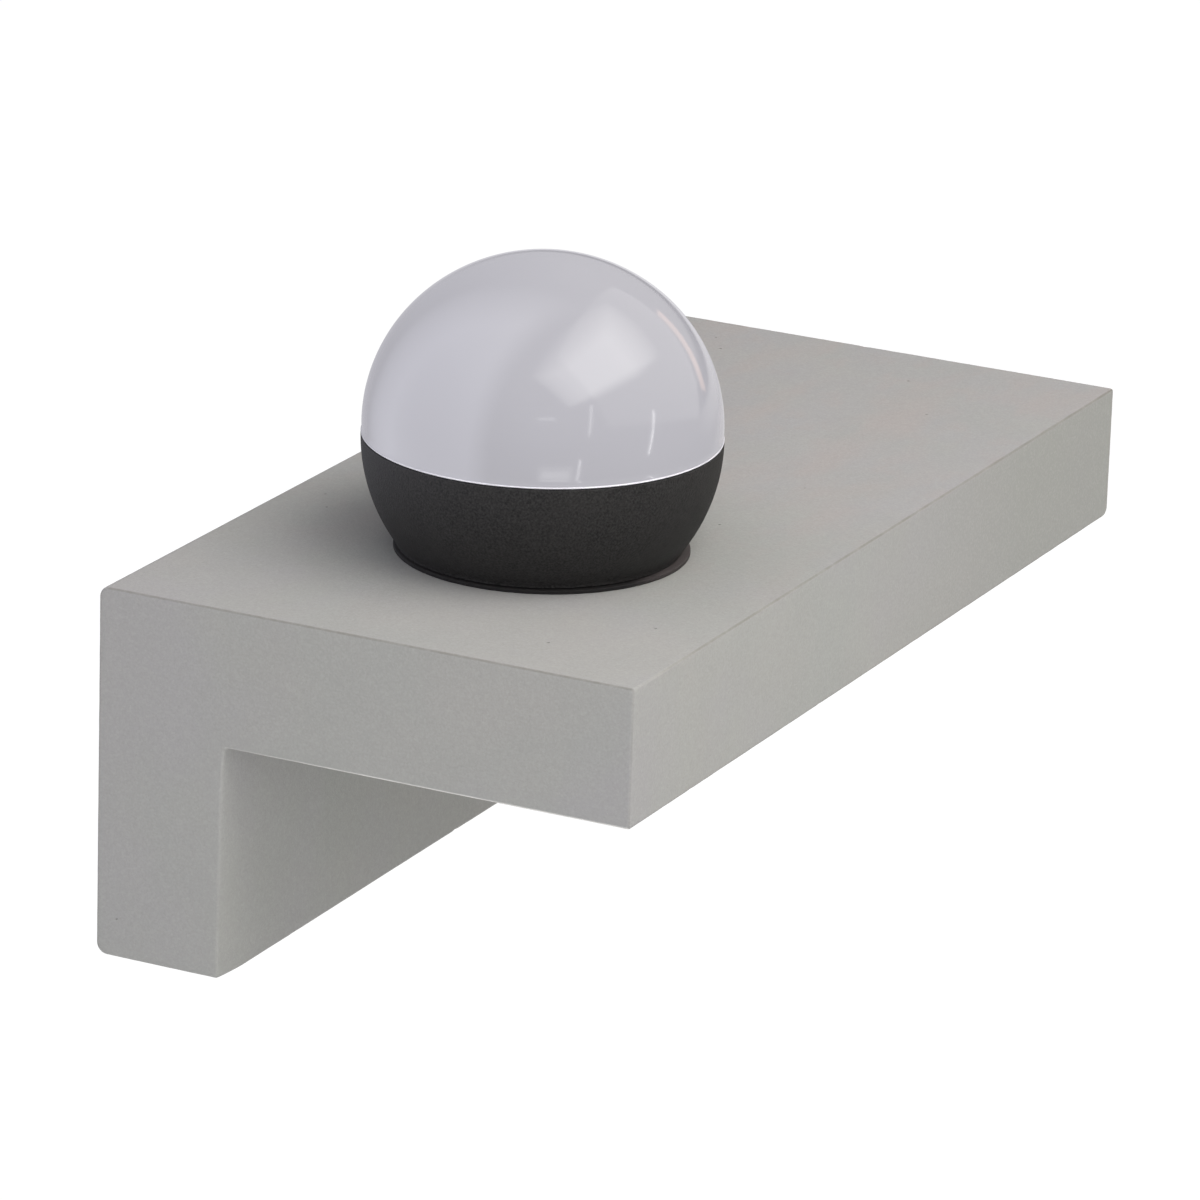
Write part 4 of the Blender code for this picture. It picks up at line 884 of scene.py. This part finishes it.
def folded_plate():
    """The wall plate: a folded channel with slots for the wall screws and holes for the rest."""
    flange, high, fold, inner = PLATE_LOW.y, PLATE_HIGH.z, PLATE_FOLD, PLATE_FOLD - SHEET
    lower, upper = (-fold, fold - high), (-fold, high - fold)
    outline = [(flange, -high), *arc(lower, fold, fold, -90, 0, 10)]
    outline += [*arc(upper, fold, fold, 0, 90, 10), (flange, high), (flange, high - SHEET)]
    outline += [*arc(upper, inner, inner, 90, 0, 8), *arc(lower, inner, inner, 0, -90, 8)]
    outline += [(flange, SHEET - high)]
    rings = [[(x, y, z) for y, z in outline] for x in (PLATE_LOW.x, PLATE_HIGH.x)]
    plate = loft("folded_plate", rings, [finishes["zinc"]])
    soften(plate, 0.25 * MM)
    boxes, rods = [], [through_plate(INLET.x, 0, INLET_RADIUS)]
    rods += [through_plate(screw.x, screw.z, PILOT_RADIUS) for screw in PLATE_SCREWS]
    half, radius, z = WALL_SLOT_HALF_LENGTH, WALL_SLOT_RADIUS, WALL_SLOT_Z
    for x in WALL_SLOTS:
        rods += [through_plate(x - half, z, radius), through_plate(x + half, z, radius)]
        boxes.append(((x - half, -SHEET - 1 * MM, z - radius), (x + half, 1 * MM, z + radius), Matrix()))
    for at in LOCK_SCREWS.values():
        rods.append(upright(at, -high - 1 * MM, SHEET - high + 1 * MM, LOCK_HOLE_RADIUS))
    apply_booleans(plate, [("DIFFERENCE", rods), ("DIFFERENCE", boxes)])
    stand_for(plate, "wall_plate")


def inlet_bush():
    """The rubber bush in the plate's cable hole."""
    hub, bore, lip, edge = INLET_RADIUS - 0.3 * MM, 4 * MM, 10 * MM, 0.7 * MM
    back, front, top = 0.2 * MM, SHEET + 0.3 * MM, SHEET + 2.1 * MM
    profile = [*arc((bore + edge, top - edge), edge, edge, 180, 90, 6)]
    profile += [*arc((lip - edge, top - edge), edge, edge, 90, 0, 6), (lip, front), (hub, front)]
    profile += [(hub, back), *arc((bore + edge, back + edge), edge, edge, 270, 180, 6)]
    place = Matrix.Translation((INLET.x, 0, 0)) @ Matrix.Rotation(math.radians(90), 4, "X")
    bush = revolve("inlet_bush", profile, [finishes["rubber"]], True, place, SMALL_ROUND_STEPS)
    stand_for(bush, "cable_grommet")


def lock_screws():
    """The two socket screws that lock the shelf to its plate, with ringed threads."""
    head, depth, edge, shank = 4.5 * MM, LOCK_HEAD, 0.5 * MM, 2.4 * MM
    length, pitch, turns = 24 * MM, 0.8 * MM, 28
    profile = [(0, length), (shank - 0.4 * MM, length)]
    for turn in range(turns):
        height = length - 0.4 * MM - turn * pitch
        profile += [(shank, height), (shank - 0.35 * MM, height - pitch / 2)]
    profile += [(shank, 0.8 * MM), (shank, 0), (head, 0)]
    profile += [*arc((head - edge, edge - depth), edge, edge, 0, -90, 6), (0, -depth)]
    for name, at in LOCK_SCREWS.items():
        seat = Vector((at.x, at.y, LOCK_SEAT))
        place = Matrix.Translation(seat)
        screw = revolve(f"socket_{name}", profile, [finishes["zinc"]], False, place, SMALL_ROUND_STEPS)
        top, bottom = seat - Vector((0, 0, depth - 2.4 * MM)), seat - Vector((0, 0, depth + 1 * MM))
        apply_booleans(screw, [("DIFFERENCE", [(top, bottom, 2.3 * MM, 6)])])
        stand_for(screw, name)


def chamber_cap():
    """The cap that closes the fixing chamber under the slab."""
    rim, wall, face, edge = (CAP_HIGH.x - CAP_LOW.x) / 2, 1.4 * MM, 2 * MM, 0.5 * MM
    bottom, top = CAP_LOW.z, CAP_HIGH.z
    profile = [(0, bottom + face), (rim - wall, bottom + face), (rim - wall, top), (rim - 0.4 * MM, top)]
    profile += [(rim, top - 1 * MM), *arc((rim - edge, bottom + edge), edge, edge, 0, -90, 8), (0, bottom)]
    cap = revolve("chamber_cap", profile, [finishes["grey_plastic"]], False)
    stand_for(cap, "underside_cap")


# ---------------------------------------------------------------- CAD nodes that stay


def finish_cad_nodes():
    """Give every carried-over CAD node the finish of its slot."""
    slots = {part["node"]: part["material_slot"] for part in frame["record"]["subparts"]}
    for name, thing in frame["nodes"].items():
        thing.data.materials.clear()
        thing.data.materials.append(finishes[slots[name]])


# ---------------------------------------------------------------- studio and camera


def camera():
    data = bpy.data.cameras.new("camera")
    data.lens = CAMERA_LENS_MM
    data.sensor_width = SENSOR_MM
    data.clip_start = 0.05
    data.clip_end = 60
    aim = (CAMERA_AIM - CAMERA_AT).to_track_quat("-Z", "Y").to_matrix().to_4x4()
    roll = Matrix.Rotation(math.radians(CAMERA_ROLL), 4, "Z")
    thing = bpy.data.objects.new("camera", data)
    thing.matrix_world = Matrix.Translation(CAMERA_AT) @ aim @ roll
    bpy.context.scene.collection.objects.link(thing)
    bpy.context.scene.camera = thing


def direction(azimuth, elevation):
    """A unit vector. Azimuth is counted from +X towards +Y, in degrees."""
    turn, lift = math.radians(azimuth), math.radians(elevation)
    flat = math.cos(lift)
    return Vector((flat * math.cos(turn), flat * math.sin(turn), math.sin(lift)))


PANEL_POWER = 4.0  # watts per square metre of a panel at radiance 1


def panel(name, at, back, across, width, height, radiance, colour=(1, 1, 1), shows="both"):
    """A rectangular light. It faces away from back, and its width runs along across. It shows as
    gloss, as diffuse light, or as both."""
    data = bpy.data.lights.new(name, "AREA")
    data.shape = "RECTANGLE"
    data.size = width
    data.size_y = height
    data.energy = radiance * PANEL_POWER * width * height
    data.color = colour
    back = Vector(back).normalized()
    right = (Vector(across) - back * back.dot(Vector(across))).normalized()
    up = back.cross(right)
    thing = bpy.data.objects.new(name, data)
    thing.matrix_world = Matrix.Translation(at) @ Matrix((right, up, back)).transposed().to_4x4()
    thing.visible_diffuse = shows != "gloss"
    thing.visible_glossy = shows != "diffuse"
    thing.visible_camera = False
    bpy.context.scene.collection.objects.link(thing)


SOFTBOX_COLOUR = (1.0, 0.985, 0.965)


def softbox(ball):
    """The main light, as overlapping panels of different sizes, so that its edges fade."""
    back = Vector((0.025, -0.55, 0.835)).normalized()
    across = Vector((1, 0, 0))
    across = (across - back * back.dot(across)).normalized()
    up = back.cross(across)
    layers = 6
    for layer in range(layers):
        share = layer / (layers - 1)
        left, right = 0.4 * share**2.2 - 0.88, 0.75 - 0.5 * share
        bottom, top = -0.3 - 0.12 * share, 0.4 - 0.28 * share
        at = ball + back * (1 + 0.012 * layer) + across * (left + right) / 2 + up * (bottom + top) / 2
        name, width, height = f"softbox_{layer + 1}", right - left, top - bottom
        panel(name, at, back, across, width, height, 3.0 / layers, SOFTBOX_COLOUR)
    panel("key_spill", ball + back * 1.1, back, across, 0.9, 0.8, 0.85, SOFTBOX_COLOUR, "diffuse")


def strip(name, ball, start, end, width, radiance, colour=(1, 1, 1)):
    """A thin light between two directions that only shows as a reflection."""
    first, last = direction(*start), direction(*end)
    back = (first + last).normalized()
    across = (first - last).normalized()
    length = (first - last).length * 1.2
    panel(name, ball + back * 1.2, back, across, length, width, radiance, colour, "gloss")


def surround():
    """A soft grey surround, bluer on the wall's side and near end's side. Reflections see a bright
    wall on the left and, past the far end, a dark band over a light one. The backdrop itself is
    white."""
    n = Nodes("soft_surround", "worlds", "Background", "Generated")
    x, y, z = n.add("ShaderNodeSeparateXYZ", {"Vector": n.coords}).outputs
    light = n.math("ADD", n.remap(z, 0.0, 0.62, 0.16, 0.49), n.remap(y, 0.1, 0.9, 0.0, 0.12))
    light = n.math("ADD", light, n.remap(x, -0.1, -0.9, 0.0, 0.12))
    left = n.remap(n.math("ADD", n.math("MULTIPLY", x, 0.21), y), -0.1, 0.16)
    left = n.math("MULTIPLY", left, n.remap(x, 0.45, -0.1))
    mirrored = n.math("ADD", n.remap(z, 0.0, 0.7, 0.32, 0.62), n.math("MULTIPLY", left, 1.8))
    far = n.remap(x, 0.78, 0.92)
    dark = n.remap(n.math("ABSOLUTE", n.math("SUBTRACT", z, 0.02)), 0.075, 0.045)
    mirrored = n.math("MULTIPLY", mirrored, n.math("SUBTRACT", 1.0, n.math("MULTIPLY", dark, far)))
    low = n.math("MULTIPLY", n.remap(z, -0.03, -0.07), n.remap(z, -0.22, -0.13))
    mirrored = n.math("ADD", mirrored, n.math("MULTIPLY", n.math("MULTIPLY", low, far), 0.3))
    rays = n.add("ShaderNodeLightPath").outputs
    strength = n.blend(rays["Is Camera Ray"], n.blend(rays["Is Glossy Ray"], light, mirrored), 1.0)
    turned = n.math("SUBTRACT", y, n.math("MULTIPLY", x, 0.5))
    tint = n.mix(n.remap(turned, -0.7, 0.8), (1.02, 0.995, 0.955, 1), (0.95, 0.96, 1.08, 1))
    n.set(Color=n.mix(rays["Is Camera Ray"], tint, (1, 1, 1, 1)), Strength=strength)
    bpy.context.scene.world = n.material


def pale_floor():
    """A plain white floor, well below the shelf. It can't be seen from underneath."""
    side, height = 30.0, -0.42
    mesh = bpy.data.meshes.new("pale_floor")
    corners = [(-side, -side, height), (side, -side, height), (side, side, height), (-side, side, height)]
    mesh.from_pydata(corners, [], [(0, 1, 2, 3)])
    n = Nodes("pale_floor")
    n.set(Base_Color=(0.12, 0.12, 0.12, 1), Roughness=0.9, Specular_IOR_Level=0.0)
    n.set(Emission_Color=(1, 1, 1, 1), Emission_Strength=0.95)
    one_sided = n.add("ShaderNodeMixShader", {"Fac": n.add("ShaderNodeNewGeometry").outputs["Backfacing"]})
    n.put(one_sided.inputs[1], n.shader.outputs["BSDF"])
    n.put(one_sided.inputs[2], n.add("ShaderNodeBsdfTransparent").outputs["BSDF"])
    n.put(n.tree.nodes["Material Output"].inputs["Surface"], one_sided.outputs["Shader"])
    floor = new_object("pale_floor", mesh, [n.material])
    floor.visible_glossy = False


def studio():
    """A white floor well below the shelf, a soft surround, a softbox in front and above, fills that
    give only diffuse light, and cards and strips that show only as reflections."""
    scene = bpy.context.scene
    scene.view_settings.view_transform = "Standard"
    surround()
    pale_floor()
    ball = Vector((LAMP.x, LAMP.y, DOME_CENTRE))
    softbox(ball)
    fill = direction(-148, 20)
    panel("near_fill", ball + fill, fill, (0, 0, 1), 0.5, 0.5, 2.6, (0.97, 0.99, 1.03), "diffuse")
    front = direction(-62, 40)
    panel("front_card", ball + front * 1.25, front, (1, 0, 0), 2.3, 1.7, 0.45, (1.0, 0.99, 0.96), "gloss")
    low = direction(-145, -15)
    panel("low_card", ball + low * 1.2, low, (0, 0, 1), 0.14, 0.34, 1.1, (1, 1, 1), "gloss")
    panel("low_card_glow", ball + low * 1.25, low, (0, 0, 1), 0.3, 0.46, 0.7, (1, 1, 1), "gloss")
    under = Vector((0.02, -0.15, -0.1))
    panel("under_fill", under, (0, -0.9, -0.3), (1, 0, 0), 0.26, 0.06, 0.11, (1, 1, 1), "diffuse")
    strip("front_strip", ball, (-76, 15), (-85, -7), 0.02, 9.0)
    strip("side_strip", ball, (-119, 30), (-124, 11), 0.024, 4.0)
    strip("low_strip", ball, (-130, -4), (-132, -25), 0.026, 5.0)
    strip("camera_strip", ball, (-157, 23), (-145, 23), 0.026, 2.4)
    strip("warm_strip", ball, (-24, 1), (-9, 24), 0.13, 1.2, (1.0, 0.66, 0.5))


finish_cad_nodes()
concrete_casting()
foot_gasket()
bowl_shell()
dome_shell()
folded_plate()
inlet_bush()
lock_screws()
chamber_cap()
studio()
camera()
